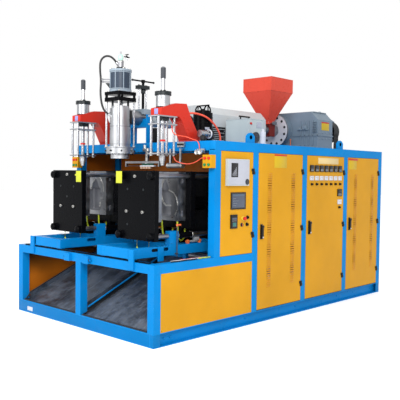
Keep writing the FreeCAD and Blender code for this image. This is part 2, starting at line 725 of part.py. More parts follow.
# ---- die head ------------------------------------------------------------------------------
HEAD = (AXIS_X, MID_Y)
HEAD_HOSE_D = 20.0
HOSE_OUT = (-0.69, 0.72)
HOSE_ASIDE = (-0.72, -0.69)
HEAD_HOSE = ((42.7, 0, 2598.5), (80, 0, 2652), (152, 0, 2668), (206, 0, 2618), (208, 0, 2520), (196, 0, 2410),
             (203, 6, 2300), (188, 20, 2180), (152, 48, 2100), (108.5, 57.8, 2074.1))
FITTING_R = 14.0
FITTING_LENGTH = 50.0


def head_hose_points():
    points = []
    for out, aside, z in HEAD_HOSE:
        points.append((HEAD[0] + HOSE_OUT[0] * out + HOSE_ASIDE[0] * aside,
                       HEAD[1] + HOSE_OUT[1] * out + HOSE_ASIDE[1] * aside, z))
    return points


def hose_fitting(end, after):
    """The metal end that a hose is pushed on, in line with the hose's first run."""
    along = (V(*after) - V(*end)).normalize()
    return Part.makeCylinder(FITTING_R, FITTING_LENGTH, V(*end) - along * FITTING_LENGTH, along)


def die_head():
    body = turned(HEAD, [(DIE_R, DIE_Z, DIE_RING_Z[0]), (DIE_RING_R, *DIE_RING_Z),
                         (RING_PLATE_R, DIE_RING_Z[1], HEAD_BODY_Z[0]), (HEAD_BODY_R, *HEAD_BODY_Z),
                         (HEAD_BODY_R - 14, HEAD_BODY_Z[1], HEAD_BODY_Z[1] + 22)])
    inlet = rod("x", (MID_Y, BARREL_Z), 78.0, AXIS_X, BARREL_START_X + 12)
    points = head_hose_points()
    body = body.multiFuse([inlet, hose_fitting(points[-1], points[-2])])
    body = body.cut(rod("x", (MID_Y, BARREL_Z), 20.0, AXIS_X, BARREL_START_X + 20))
    body = body.cut(rod("z", HEAD, CORE_R + 2, DIE_Z - 1, DIE_Z + 36))
    return body.cut(rod("z", HEAD, PARISON_ROD_R + SLIDE_GAP, DIE_Z - 1, HEAD_BODY_Z[1] + 40))


def head_frame():
    """Four silver rods from the ring plate to the two square plates that carry the cylinder."""
    pieces = []
    corners = [(HEAD[0] + sx * HEAD_ROD_OFFSET, HEAD[1] + sy * HEAD_ROD_OFFSET) for sx in (-1, 1)
               for sy in (-1, 1)]
    (low, low_top), (high, high_top) = HEAD_PLATES_Z
    for corner in corners:
        pieces.append(rod("z", corner, HEAD_ROD_R, HEAD_BODY_Z[0], low))
        pieces.append(rod("z", corner, HEAD_ROD_R + 4, low_top, high))
    for z in HEAD_PLATES_Z:
        plate = block(around(HEAD[0], HEAD_PLATE_HALF), around(HEAD[1], HEAD_PLATE_HALF), z)
        pieces.append(plate.cut(rod("z", HEAD, PARISON_ROD_R + 3, z[0] - 1, z[1] + 1)))
    return group(pieces)


def head_cylinder():
    """Hydraulic cylinder that moves the parison rod, with its neck, gauge glass and vent."""
    low, high = HEAD_CYLINDER_Z
    steps = [(HEAD_FLANGE_R, low, low + 22), (HEAD_CYLINDER_R, low + 22, high - 22),
             (HEAD_FLANGE_R, high - 22, high)]
    body = turned(HEAD, steps)
    body = body.cut(rod("z", HEAD, HEAD_BORE_R, low + 25, high - 25))
    body = body.cut(rod("z", HEAD, PARISON_ROD_R + SLIDE_GAP, low - 1, high + 1))
    neck = turned(HEAD, [(46.0, high, high + 25), (30.0, high + 25, high + 70), (32.0, high + 70, high + 88),
                         (17.0, high + 88, MACHINE_TOP - 35), (7.0, MACHINE_TOP - 35, MACHINE_TOP)])
    points = head_hose_points()
    neck = neck.fuse(hose_fitting(points[0], points[1]))
    neck = neck.cut(rod("z", HEAD, PARISON_ROD_R + SLIDE_GAP, high - 1, high + 85))
    return group([body, neck])


def parison_rod():
    """The core rod in the head, with its piston in the cylinder."""
    low, high = HEAD_CYLINDER_Z
    middle = (low + high) / 2
    return turned(HEAD, [(CORE_R, DIE_Z, DIE_Z + 18), (PARISON_ROD_R, DIE_Z + 18, high + 50),
                         (HEAD_BORE_R - 0.3, middle, middle + 30)])


def head_hose():
    return hose(head_hose_points(), HEAD_HOSE_D)


AIR_HOSE_D = 20.0
AIR_HOSE = ((797.3, 17, 2056.5), (869.6, 17, 2090.7), (985, -3, 2086), (1090, -15, 2062), (1190, -23, 2005),
            (1258, -27, 1930), (1285, -29, 1876), (1285, -29, 1800))
AIR_TUBE_D = 9.0
AIR_TUBES = (
    ((560, -65, 1944), (560, -65, 1885), (605, -73, 1852), (662, -87, 1848), (712, -117, 1840),
     (737, -163, 1818), (738, -228, 1804), (738, -258, 1766), (738, -258, 1726)),
    ((615, -38, 1668), (615, -38, 1620), (650, -83, 1592), (700, -133, 1580), (722, -193, 1590),
     (722, -263, 1615), (718, -303, 1640), (718, -348, 1640)),
)


def air_tubes():
    """The red air hose behind the near arm and two thin tubes to the gauge and the near box.

    Their Y is counted from the near blow unit's middle.
    """
    tubes = [hose(from_pin(AIR_HOSE), AIR_HOSE_D)]
    tubes += [hose(from_pin(points), AIR_TUBE_D) for points in AIR_TUBES]
    return group(tubes)


def from_pin(points):
    return [(x, PIN_Y + y, z) for x, y, z in points]


# ---- extruder ------------------------------------------------------------------------------
LINE = (MID_Y, BARREL_Z)
FEED_X = (HOPPER_X - FEED_LENGTH / 2, HOPPER_X + FEED_LENGTH / 2)


def extruder_barrel():
    barrel = turned(LINE, [(78.0, BARREL_START_X + 12, BARREL_START_X + 42),
                           (BARREL_R, BARREL_START_X + 42, FEED_X[0])], "x")
    pieces = [barrel.cut(rod("x", LINE, SCREW_R + SCREW_FIT, BARREL_START_X, FEED_X[0] + 1))]
    for x in HEATER_START:
        pieces.append(ring("x", LINE, HEATER_R, BARREL_R, x, x + HEATER_LENGTH))
    return group(pieces)


def feed_section():
    """Feed block with the throat, the short rear barrel and its bolted flange."""
    lump = block(FEED_X, around(MID_Y, FEED_HALF_Y), FEED_Z)
    collar = block(around(HOPPER_X, HOPPER_FLANGE_HALF), around(MID_Y, HOPPER_FLANGE_HALF),
                   (FEED_Z[1], GATE_SLOT_Z[0]))
    rear = rod("x", LINE, BARREL_R, FEED_X[1], FLANGE_X)
    flange = rod("x", LINE, FLANGE_R, FLANGE_X, FLANGE_X + FLANGE_THICK)
    body = lump.multiFuse([collar, rear, flange])
    body = body.cut(rod("x", LINE, SCREW_R + SCREW_FIT, FEED_X[0] - 1, FLANGE_X + FLANGE_THICK + 1))
    throat = block(around(HOPPER_X, THROAT_HALF), around(MID_Y, THROAT_HALF), (BARREL_Z, FEED_Z[1] + 20))
    body = body.cut(throat)
    pieces = [body]
    for i in range(FLANGE_HOLES):
        angle = math.radians(360.0 / FLANGE_HOLES * (i + 0.5))
        point = (MID_Y + FLANGE_PCD_R * math.cos(angle), BARREL_Z + FLANGE_PCD_R * math.sin(angle))
        pieces.append(rod("x", point, FLANGE_BOLT_R, FLANGE_X - 12, FLANGE_X))
    for sign in (-1, 1):
        y = tuple(sorted((MID_Y + sign * HOPPER_FLANGE_HALF, MID_Y + sign * (GATE_HALF + 1))))
        x = tuple(sorted((HOPPER_X + sign * HOPPER_FLANGE_HALF, HOPPER_X + sign * (GATE_HALF + 1))))
        pieces.append(block(x, around(MID_Y, HOPPER_FLANGE_HALF), GATE_SLOT_Z))
    return group(pieces)


def barrel_cover():
    """Sheet cover over the heated part of the barrel, standing on the deck, open below."""
    def outline(inset):
        half = COVER_HALF_Y - inset
        top_half = COVER_TOP_HALF - inset / 2
        low = CABINET_TOP - inset
        points = [(-half, low), (-half, COVER_SHOULDER_Z - inset), (-top_half, COVER_TOP_Z - inset),
                  (top_half, COVER_TOP_Z - inset), (half, COVER_SHOULDER_Z - inset), (half, low)]
        return [(MID_Y + y, z) for y, z in points]
    shell = profile_x(outline(0), COVER_X).cut(profile_x(outline(PANEL), shrink(COVER_X, PANEL)))
    for x in COVER_X:
        shell = shell.cut(rod("x", LINE, BARREL_R + 15, x - 10, x + 10))
        shell = shell.cut(block(around(x, 10), around(MID_Y, BARREL_R + 15), (CABINET_TOP - 1, BARREL_Z)))
    for i in range(3):
        z = 1895.0 + i * 40
        shell = shell.cut(block((1791, 1880), (MID_Y - COVER_HALF_Y - 1, MID_Y - COVER_HALF_Y + 10), (z, z + 14)))
    return shell


def frustum(low_half, high_half, low_z, high_z):
    """A square pyramid stump around the hopper's axis."""
    def square(half, z):
        corners = [V(HOPPER_X + sx * half, MID_Y + sy * half, z) for sx, sy in
                   ((-1, -1), (1, -1), (1, 1), (-1, 1), (-1, -1))]
        return Part.makePolygon(corners)
    return Part.makeLoft([square(low_half, low_z), square(high_half, high_z)], True, True)


def hopper():
    t = HOPPER_WALL
    neck_low = GATE_SLOT_Z[1]
    flange = block(around(HOPPER_X, HOPPER_FLANGE_HALF), around(MID_Y, HOPPER_FLANGE_HALF),
                   (neck_low, neck_low + 8))
    def square(half, z):
        return block(around(HOPPER_X, half), around(MID_Y, half), z)
    outer = [square(HOPPER_NECK_HALF, (neck_low, HOPPER_NECK_Z)),
             frustum(HOPPER_NECK_HALF, HOPPER_HALF, HOPPER_NECK_Z, HOPPER_BAND_Z[0]),
             square(HOPPER_HALF, HOPPER_BAND_Z)]
    inner = [square(THROAT_HALF, (neck_low - 1, HOPPER_NECK_Z)),
             frustum(THROAT_HALF, HOPPER_HALF - t, HOPPER_NECK_Z, HOPPER_BAND_Z[0]),
             square(HOPPER_HALF - t, (HOPPER_BAND_Z[0], HOPPER_BAND_Z[1] + 1))]
    body = flange.multiFuse(outer)
    return body.cut(inner[0].multiFuse(inner[1:])).removeSplitter()


def hopper_gate():
    """Slide gate between the hopper and the feed throat, with its pull tab."""
    z = GATE_SLOT_Z[0] + REST_GAP
    plate = block(around(HOPPER_X, GATE_HALF), (MID_Y - 110, MID_Y + 60), (z, z + GATE_THICK))
    tab = block(around(HOPPER_X, GATE_HALF), (MID_Y - 118, MID_Y - 110), (z - 14, z + 22))
    return plate.fuse(tab).removeSplitter()


def extruder_screw():
    """Screw core with its flights, and the shaft into the gearbox."""
    start = BARREL_START_X + 60
    end = FLANGE_X - 10
    steps = [(SCREW_CORE_R, start, end), (SCREW_R, end, GEARBOX_X[0] + 120)]
    count = int((end - start) / SCREW_PITCH)
    for i in range(count):
        x = start + SCREW_PITCH * (i + 0.5)
        steps.append((SCREW_R, x, x + FLIGHT_WIDTH))
    nose = Part.makeCone(0.5, SCREW_CORE_R, 40, V(start - 40, *LINE), V(1, 0, 0))
    return turned(LINE, steps, "x").fuse(nose)


def gearbox_outline(inset):
    y0, y1 = GEARBOX_Y
    roof = GEARBOX_ROOF_INSET
    points = [(y0, GEARBOX_BOTTOM), (y0, GEARBOX_SHOULDER), (y0 + roof, GEARBOX_TOP), (y1 - roof, GEARBOX_TOP),
              (y1, GEARBOX_SHOULDER), (y1, GEARBOX_BOTTOM)]
    middle_y = (y0 + y1) / 2
    middle_z = (GEARBOX_BOTTOM + GEARBOX_TOP) / 2
    ky = 1 - inset * 2 / (y1 - y0)
    kz = 1 - inset * 2 / (GEARBOX_TOP - GEARBOX_BOTTOM)
    return [(middle_y + (y - middle_y) * ky, middle_z + (z - middle_z) * kz) for y, z in points]


def gearbox():
    """Ribbed cast housing on feet, hollow, with the output neck and both shaft bores."""
    x = GEARBOX_X
    shell = profile_x(gearbox_outline(0), x).cut(profile_x(gearbox_outline(GEARBOX_WALL), shrink(x, GEARBOX_WALL)))
    neck = rod("x", LINE, 195.0, FLANGE_X + FLANGE_THICK, x[0])
    feet = [block(shrink(x, -10), y, (CABINET_TOP, GEARBOX_BOTTOM)) for y in
            ((GEARBOX_Y[0], GEARBOX_Y[0] + 130), (GEARBOX_Y[1] - 130, GEARBOX_Y[1]))]
    ribs = []
    for i in range(RIB_COUNT):
        y = GEARBOX_Y[0] + RIB_PITCH * (i + 1)
        ribs.append(block((x[0] - RIB_OUT, x[0]), (y, y + RIB_THICK), (GEARBOX_BOTTOM + 20, GEARBOX_SHOULDER - 10)))
    bearing = rod("x", (PULLEY_Y, BARREL_Z), 70.0, x[1], x[1] + 20)
    body = shell.multiFuse([neck, bearing] + feet + ribs)
    body = body.cut(rod("x", LINE, SCREW_R + SCREW_FIT, FLANGE_X, x[0] + GEARBOX_WALL + 1))
    body = body.cut(rod("x", (PULLEY_Y, BARREL_Z), SHAFT_R + SLIDE_GAP, x[1] - GEARBOX_WALL - 1, x[1] + 25))
    return body.removeSplitter()


def pulley(centre, radius, x, shaft_start):
    """A grooved pulley on its shaft."""
    wheel = rod("x", centre, radius, *x)
    first = (x[0] + x[1]) / 2 - BELT_PITCH * (BELT_COUNT - 1) / 2
    grooves = []
    for i in range(BELT_COUNT):
        middle = first + i * BELT_PITCH
        span = (middle - BELT_WIDTH / 2 - 1, middle + BELT_WIDTH / 2 + 1)
        grooves.append(ring("x", centre, radius + 1, radius - BELT_THICK - REST_GAP, *span))
    wheel = wheel.cut(group(grooves))
    return wheel.fuse(rod("x", centre, SHAFT_R, shaft_start, x[0])).removeSplitter()


def gearbox_pulley():
    return pulley((PULLEY_Y, BARREL_Z), PULLEY_R, PULLEY_X, GEARBOX_X[1] - 120)


def motor_pulley():
    return pulley((PULLEY_Y, MOTOR_Z), MOTOR_PULLEY_R, PULLEY_X, MOTOR_X[1] - 60)


def belt_loop(x, top_r, low_r):
    """The outline that a belt encloses: two discs and the straight runs that touch both."""
    span = BARREL_Z - MOTOR_Z
    lean = math.asin((top_r - low_r) / span)
    discs = [rod("x", (PULLEY_Y, BARREL_Z), top_r, *x), rod("x", (PULLEY_Y, MOTOR_Z), low_r, *x)]
    c = math.cos(lean)
    s = math.sin(lean)
    runs = [(PULLEY_Y - low_r * c, MOTOR_Z - low_r * s), (PULLEY_Y - top_r * c, BARREL_Z - top_r * s),
            (PULLEY_Y + top_r * c, BARREL_Z - top_r * s), (PULLEY_Y + low_r * c, MOTOR_Z - low_r * s)]
    return discs[0].multiFuse([discs[1], profile_x(runs, x)]).removeSplitter()


def drive_belts():
    belts = []
    first = (PULLEY_X[0] + PULLEY_X[1]) / 2 - BELT_PITCH * (BELT_COUNT - 1) / 2
    for i in range(BELT_COUNT):
        x = around(first + i * BELT_PITCH, BELT_WIDTH / 2)
        outer = belt_loop(x, PULLEY_R, MOTOR_PULLEY_R)
        inner = belt_loop((x[0] - 1, x[1] + 1), PULLEY_R - BELT_THICK, MOTOR_PULLEY_R - BELT_THICK)
        belts.append(outer.cut(inner))
    return group(belts)


def main_motor():
    """Finned motor on its two slide rails over the base cross members."""
    centre = (PULLEY_Y, MOTOR_Z)
    body = rod("x", centre, MOTOR_R, *MOTOR_X)
    grooves = []
    for i in range(16):
        x = MOTOR_X[0] + 30 + i * 23
        grooves.append(ring("x", centre, MOTOR_R + 1, MOTOR_R - 14, x, x + 12))
    body = body.cut(group(grooves))
    feet = block((3160, 3480), around(PULLEY_Y, 170), (BASE_HEIGHT + 40, MOTOR_Z - 150))
    terminal = block((3230, 3390), around(PULLEY_Y, 70), (MOTOR_Z + MOTOR_R - 20, MOTOR_Z + MOTOR_R + 80))
    shaft_hole = rod("x", centre, SHAFT_R + SLIDE_GAP, MOTOR_X[1] - 61, MOTOR_X[1] + 1)
    motor = body.multiFuse([feet, terminal]).cut(shaft_hole)
    rails = []
    for y in (PULLEY_Y - 150, PULLEY_Y + 110):
        rails.append(block((COLUMN_X[2], LENGTH - 14), (y, y + 40), (BASE_HEIGHT, BASE_HEIGHT + 40)))
    return group([motor] + rails)


def hydraulic_unit():
    """Oil tank on the base cross members, with the pump motor and the valve block on its lid."""
    y = (400.0, 1100.0)
    x = (PARTITION_X + PANEL + 2, COLUMN_X[1] + POST)
    skids = [block(x, (edge, edge + 50), (BASE_HEIGHT, BASE_HEIGHT + 30)) for edge in (y[0] + 60, y[1] - 110)]
    tank_x = (1450.0, 2090.0)
    tank_z = (BASE_HEIGHT + 30, 600.0)
    tank = block(tank_x, y, tank_z).cut(block(shrink(tank_x, 4), shrink(y, 4), shrink(tank_z, 4)))
    lid_z = tank_z[1]
    motor = turned((1650.0, 620.0), [(130.0, lid_z, lid_z + 60), (105.0, lid_z + 60, lid_z + 380),
                                     (112.0, lid_z + 380, lid_z + 440)])
    manifold = block((1850, 2030), (560, 820), (lid_z, lid_z + 120))
    coils = [rod("z", (1890.0 + 50 * i, 690.0), 20.0, lid_z + 120, lid_z + 200) for i in range(3)]
    return group([tank, motor, manifold] + skids + coils)


def electrical_plate():
    """Switchgear on a mounting plate behind the instrument door, on two uprights."""
    x = (COLUMN_X[1] + POST - 40, COLUMN_X[2] + 40)
    plate_y = (330.0, 333.0)
    z = (400.0, 1600.0)
    pieces = [block(x, plate_y, z)]
    for edge in (x[0], x[1] - 40):
        pieces.append(block((edge, edge + 40), (333, 373), (BASE_HEIGHT, joist_bottom())))
    for row in range(3):
        base = 520.0 + 330 * row
        for i in range(5):
            left = x[0] + 100 + 135 * i
            pieces.append(block((left, left + 90), (250, 330), (base, base + 150)))
        pieces.append(block((x[0] + 40, x[1] - 40), (290, 330), (base + 190, base + 240)))
    return group(pieces)


# ---- barrel support and jack ---------------------------------------------------------------
SUPPORT_X = (748.0, 828.0)
SUPPORT_OFFSET = (116.0, 128.0)
SADDLE_Z = (1962.0, 2050.0)
JACK_X = 806.0
JACK_PLATE_Z = (2362.0, 2398.0)
JACK_SCREW_Z = 2159.0
JACK_TOP = 2459.0
JACK_SCREW_R = 14.0
JACK_ROD_OFFSET = 50.0
JACK_CLAMP_X = (740.0, 858.0)
CUTTER_PIVOT = (700.0, MID_Y - 200.0)
CUTTER_PIVOT_R = 12.0
CUTTER_Z = (1590.0, 1612.0)
CUTTER_Y = (MID_Y - 387.0, MID_Y + 134.0)
CUTTER_HALF = 15.0
CUTTER_LEG = 16.0
CUTTER_LEG_Z = 1556.0
CUTTER_WIRE_R = 2.0


def barrel_support():
    """Two upright plates, a saddle under the barrel, the clamp ring and the jack's rods and plate."""
    pieces = []
    for sign in (-1, 1):
        y = tuple(sorted((MID_Y + sign * SUPPORT_OFFSET[0], MID_Y + sign * SUPPORT_OFFSET[1])))
        pieces.append(block(SUPPORT_X, y, (CABINET_TOP, 2090)))
    saddle = block(SUPPORT_X, around(MID_Y, SUPPORT_OFFSET[0]), SADDLE_Z)
    pieces.append(saddle.cut(rod("x", LINE, BARREL_R, SUPPORT_X[0] - 1, SUPPORT_X[1] + 1)))
    cap = block(JACK_CLAMP_X, around(MID_Y, 85), (2095, 2150))
    pieces.append(cap.cut(rod("x", LINE, BARREL_R, JACK_CLAMP_X[0] - 1, JACK_CLAMP_X[1] + 1)))
    for sign in (-1, 1):
        point = (JACK_X + sign * JACK_ROD_OFFSET - 7, MID_Y)
        pieces.append(rod("z", point, 9.0, 2150, JACK_PLATE_Z[0]))
    plate = block((JACK_X - 75, JACK_X + 61), around(MID_Y, 35), JACK_PLATE_Z)
    hole = rod("z", (JACK_X, MID_Y), JACK_SCREW_R + SLIDE_GAP, JACK_PLATE_Z[0] - 1, JACK_PLATE_Z[1] + 1)
    pieces.append(plate.cut(hole))
    return group(pieces + cutter_bracket())


def cutter_bracket():
    """What holds the hot knife's arm: a bracket on the front beam, its pivot post and its drive."""
    pivot_y = CUTTER_PIVOT[1]
    bracket_z = (CABINET_TOP - TOP_BEAM + 1, CABINET_TOP - TOP_BEAM + 31)
    bracket = block((688, CABINET_X), around(pivot_y, 30), bracket_z)
    hanger = block((688, 712), around(pivot_y, 12), (CUTTER_Z[1] + REST_GAP, bracket_z[0]))
    post = rod("z", CUTTER_PIVOT, CUTTER_PIVOT_R, CUTTER_Z[0] - 4, CUTTER_Z[1] + REST_GAP)
    shelf = block((700, CABINET_X), (pivot_y + 30, pivot_y + 80), bracket_z)
    drive = rod("z", (716.0, pivot_y + 58), 18.0, bracket_z[1], bracket_z[1] + 35)
    return [bracket.multiFuse([hanger, post]), shelf, drive]


def cutter_arm():
    """The hot knife's bar on its pivot, with a leg at each end and the wire between the legs."""
    x = around(CUTTER_PIVOT[0], CUTTER_HALF)
    bar = block(x, CUTTER_Y, CUTTER_Z)
    legs = []
    for y in ((CUTTER_Y[0], CUTTER_Y[0] + CUTTER_LEG), (CUTTER_Y[1] - CUTTER_LEG, CUTTER_Y[1])):
        legs.append(block(x, y, (CUTTER_LEG_Z, CUTTER_Z[0])))
    bar = bar.multiFuse(legs).removeSplitter()
    bar = bar.cut(rod("z", CUTTER_PIVOT, CUTTER_PIVOT_R + SLIDE_GAP, CUTTER_Z[0] - 1, CUTTER_Z[1] + 1))
    wire_place = (x[0] + CUTTER_LEG / 2, CUTTER_LEG_Z + CUTTER_LEG / 2)
    wire = rod("y", wire_place, CUTTER_WIRE_R, CUTTER_Y[0] + CUTTER_LEG, CUTTER_Y[1] - CUTTER_LEG)
    return group([bar, wire])


def jack_screw():
    """T-handled screw through the jack's plate."""
    screw = turned((JACK_X, MID_Y), [(JACK_SCREW_R, JACK_SCREW_Z, JACK_TOP - 18), (20.0, JACK_TOP - 30, JACK_TOP)])
    bar = rod("x", (MID_Y, JACK_TOP - 14), 8.0, JACK_X - 145, JACK_X + 145)
    foot = rod("z", (JACK_X, MID_Y), 10.0, 2150 + REST_GAP, JACK_SCREW_Z)
    return screw.multiFuse([bar, foot]).removeSplitter()


# ---- deck equipment ------------------------------------------------------------------------
TANK = (1165.0, MID_Y - 523.0)
TANK_R = 100.0
TANK_TOP = 2115.0
TANK_LID_TOP = 2137.0
TANK_HANDLE_Z = 2190.0


def vacuum_tank():
    """The black tank on the deck, with the loop handles on its lid."""
    tank = turned(TANK, [(TANK_R, CABINET_TOP, TANK_TOP), (TANK_R - 16, TANK_TOP, TANK_LID_TOP),
                         (24.0, TANK_LID_TOP, TANK_LID_TOP + 18)])
    handle = []
    for sign in (-1, 1):
        y = TANK[1] + sign * 70
        handle.append(rod("z", (TANK[0], y), 6.0, TANK_LID_TOP, TANK_HANDLE_Z - 1))
    handle.append(rod("y", (TANK[0], TANK_HANDLE_Z), 7.0, TANK[1] - 85, TANK[1] + 85))
    return tank.multiFuse(handle)


LOADER_X = (1803.0, 2059.0)
LOADER_Y = (MID_Y - 603.0, MID_Y - 279.0)
LOADER_TOP = 2100.0


def loader_box():
    """Material loader's blower box, with its fan outlet, lid handle and button."""
    box = block(LOADER_X, LOADER_Y, (CABINET_TOP, LOADER_TOP))
    box = box.cut(block(shrink(LOADER_X, 3), shrink(LOADER_Y, 3), (CABINET_TOP - 1, LOADER_TOP - 3)))
    face = LOADER_Y[0]
    extras = [rod("y", (1925.0, 1902.0), 55.0, face - 12, face),
              block((1945, 2030), (face - 6, face), (2010, 2075)),
              rod("y", (1842.0, 2050.0), 12.0, face - 14, face)]
    middle_y = sum(LOADER_Y) / 2
    handle = [rod("z", (1860.0, middle_y), 8.0, LOADER_TOP, LOADER_TOP + 37),
              rod("z", (2000.0, middle_y), 8.0, LOADER_TOP, LOADER_TOP + 37),
              rod("x", (middle_y, LOADER_TOP + 38), 9.0, 1840, 2020)]
    return group([box] + extras + [handle[0].multiFuse(handle[1:])])


VALVE_Y = PIN_Y - 153.0
VALVE_Z = 1880.0
WHEEL_R = 46.0
RIM_R = 7.0
WHEEL_X = 977.0
VALVE_STEM_R = 6.0
GAUGE_Y = (PIN_Y - 306.0, PIN_Y - 258.0)
MANIFOLD_X = (CABINET_X - 20, CABINET_X)
MANIFOLD_Z = (1680.0, 1726.0)
GAUGE_Z = 1692.0


def air_service_unit():
    """Main air valve and its pipe, the water trap, the gauges and the knife's air cylinder."""
    line = (VALVE_Y, VALVE_Z)
    body = rod("x", line, 28.0, 850, 945)
    pipe = rod("z", (870.0, VALVE_Y), 16.0, CABINET_TOP, VALVE_Z - 20)
    bonnet = rod("x", line, 16.0, 945, 962)
    valve = body.multiFuse([pipe, bonnet])
    valve = valve.cut(rod("x", line, VALVE_STEM_R + SLIDE_GAP, 925, 963))
    bottle = turned((1832.0, VALVE_Y), [(31.0, CABINET_TOP, 1950), (14.0, 1950, 1980)])
    pieces = [valve, bottle]
    pieces.append(block(MANIFOLD_X, (GAUGE_Y[0] - 25, GAUGE_Y[1] + 25), MANIFOLD_Z))
    face = MANIFOLD_X[0]
    for y in GAUGE_Y:
        gauge = turned((y, GAUGE_Z), [(8.0, face - 14, face), (21.0, face - 32, face - 14)], "x")
        pieces.append(gauge)
    pieces.append(block(MANIFOLD_X, (PIN_Y - 63, PIN_Y + 32), (1746, 1796)))
    return group(pieces + [knife_cylinder()])


KNIFE_CYLINDER = (700.0, 1567.0)
KNIFE_CYLINDER_R = 24.5
KNIFE_CYLINDER_Y = (PIN_Y - 80.0, PIN_Y + 129.0)


def knife_cylinder():
    """The air cylinder that hangs under the front beam on two straps."""
    x, z = KNIFE_CYLINDER
    tube = rod("y", KNIFE_CYLINDER, KNIFE_CYLINDER_R, *KNIFE_CYLINDER_Y)
    beam_bottom = CABINET_TOP - TOP_BEAM
    straps = []
    for y in shrink(KNIFE_CYLINDER_Y, 35):
        straps.append(block((x - 8, x + 8), around(y, 10), (z, beam_bottom + 20)))
        straps.append(block((x - 8, CABINET_X), around(y, 10), (beam_bottom + 8, beam_bottom + 20)))
    return tube.multiFuse(straps)


def valve_handwheel():
    rim = Part.makeTorus(WHEEL_R - RIM_R, RIM_R, V(WHEEL_X, VALVE_Y, VALVE_Z), V(1, 0, 0))
    hub = rod("x", (VALVE_Y, VALVE_Z), 9.0, WHEEL_X - 6, WHEEL_X + 6)
    stem = rod("x", (VALVE_Y, VALVE_Z), VALVE_STEM_R, 926, WHEEL_X - 5)
    reach = WHEEL_R - 6
    spokes = [rod("y", (WHEEL_X, VALVE_Z), 3.0, VALVE_Y - reach, VALVE_Y + reach),
              rod("z", (WHEEL_X, VALVE_Y), 3.0, VALVE_Z - reach, VALVE_Z + reach)]
    return rim.multiFuse([hub, stem] + spokes)


PENDANT_X = (688.0, CABINET_X)
PENDANT_Z = (1545.0, 1667.0)


def pendant_boxes():
    """The two operator boxes on the front columns, with their push buttons."""
    box = block(PENDANT_X, PENDANT_Y, PENDANT_Z)
    buttons = []
    for y, z in ((25.0, 1575.0), (25.0, 1635.0), (75.0, 1575.0), (75.0, 1635.0)):
        buttons.append(rod("x", (y, z), 13.0, PENDANT_X[0] - 12, PENDANT_X[0]))
    return both_sides([box.multiFuse(buttons)])


# ---- doors and controls --------------------------------------------------------------------
def hinge_axis(right_edge):
    """Where a door turns: just outside its right edge, in X and Y."""
    return (right_edge + HINGE_STEP, -HINGE_OUT)


def hinge_knuckle(right_edge, z, upper):
    """One hinge half: a leaf on the sheet or the column, and its knuckle round the pin."""
    axis = hinge_axis(right_edge)
    span = (z + REST_GAP / 2, z + HINGE_HALF) if upper else (z - HINGE_HALF, z - REST_GAP / 2)
    side = -1 if upper else 1
    leaf_x = tuple(sorted((axis[0] + side * HINGE_STEP, axis[0] + side * (HINGE_LEAF + HINGE_STEP))))
    leaf = block(leaf_x, (-HINGE_OUT + 1, 0), span)
    link = block(tuple(sorted((axis[0], leaf_x[0] if side > 0 else leaf_x[1]))), (-HINGE_OUT, -1), span)
    knuckle = rod("z", axis, HINGE_R, *span).multiFuse([leaf, link])
    if upper:
        return knuckle.cut(rod("z", axis, HINGE_PIN_R + HINGE_PIN_FIT, span[0] - 1, span[1] + 1))
    return knuckle.fuse(rod("z", axis, HINGE_PIN_R, z - HINGE_HALF, z + HINGE_HALF)).removeSplitter()


def all_doors():
    """Each door's X limits, Z limits and hinge heights."""
    doors = {name: (x, DOOR_Z, HINGE_Z) for name, x in DOORS.items()}
    doors["control_door"] = (CONTROL_DOOR_X, CONTROL_DOOR_Z, CONTROL_HINGE_Z)
    return doors


def door_hinges():
    pieces = []
    for x, _, heights in all_doors().values():
        for z in heights:
            pieces.append(hinge_knuckle(x[1], z, False))
    return group(pieces)


def door(name):
    """A sheet tray with folded edges, its vents and its hinge halves."""
    x, z, heights = all_doors()[name]
    y = (0.0, DOOR_DEPTH)
    tray = block(x, y, z).cut(block(shrink(x, 2), (2.0, DOOR_DEPTH + 1), shrink(z, 2)))
    if name in ("door_1", "door_3"):
        slots = []
        for inset in LOUVRE_INSETS:
            slots += louvre_slots(x[0] + inset, LOUVRE_Z, (-1, 5))
        tray = tray.cut(group(slots))
    pieces = [tray]
    for height in heights:
        pieces.append(hinge_knuckle(x[1], height, True))
    if name in DOORS:
        pieces.append(handle_plate(x[0] + HANDLE_INSET))
    return group(pieces)


def handle_plate(x):
    plate = block(around(x, HANDLE_WIDTH / 2), (-6, 0), around(HANDLE_Z, HANDLE_HALF))
    return plate.fuse(rod("y", (x, HANDLE_PIVOT_Z), 8.0, -9, -6)).removeSplitter()


def handle(name):
    """Swing lever in front of its plate, turning about its upper end."""
    x = DOORS[name][0] + HANDLE_INSET
    y = (-26.0, -9.0 - REST_GAP)
    lever = block(around(x, 11), y, (HANDLE_Z - HANDLE_HALF + 8, HANDLE_PIVOT_Z))
    boss = rod("y", (x, HANDLE_PIVOT_Z), 15.0, y[0] - 4, y[1])
    return lever.fuse(boss).removeSplitter()


def control_instruments():
    """Screen housing, timer and push buttons on the control door."""
    pieces = [block((892, 1209), (-30, 0), (1381, 1634)), block((970, 1189), (-8, 0), (1154, 1317)),
              block((968, 1063), (-12, 0), (972, 1104))]
    pieces[0] = pieces[0].fuse(rod("y", (1175.0, 1418.0), 16.0, -37, -30))
    for x, z in ((1223.0, 1071.0), (1138.0, 1002.0), (1216.0, 1002.0)):
        pieces.append(turned((x, z), [(17.0, -4, 0), (12.0, -16, -4)], "y"))
    base = ring("y", ESTOP_XZ, 21.0, 9.0, -14, 0)
    return group(pieces + [base])


def estop_button():
    mushroom = turned(ESTOP_XZ, [(ESTOP_R, -ESTOP_OUT, -ESTOP_OUT + 14), (8.9, -ESTOP_OUT + 14, -7)], "y")
    return mushroom


INSTRUMENT_COUNT = 7
INSTRUMENT_PITCH = 97.0
CONTROLLER = 72.0
FIRST_CONTROLLER_X = 2290.0


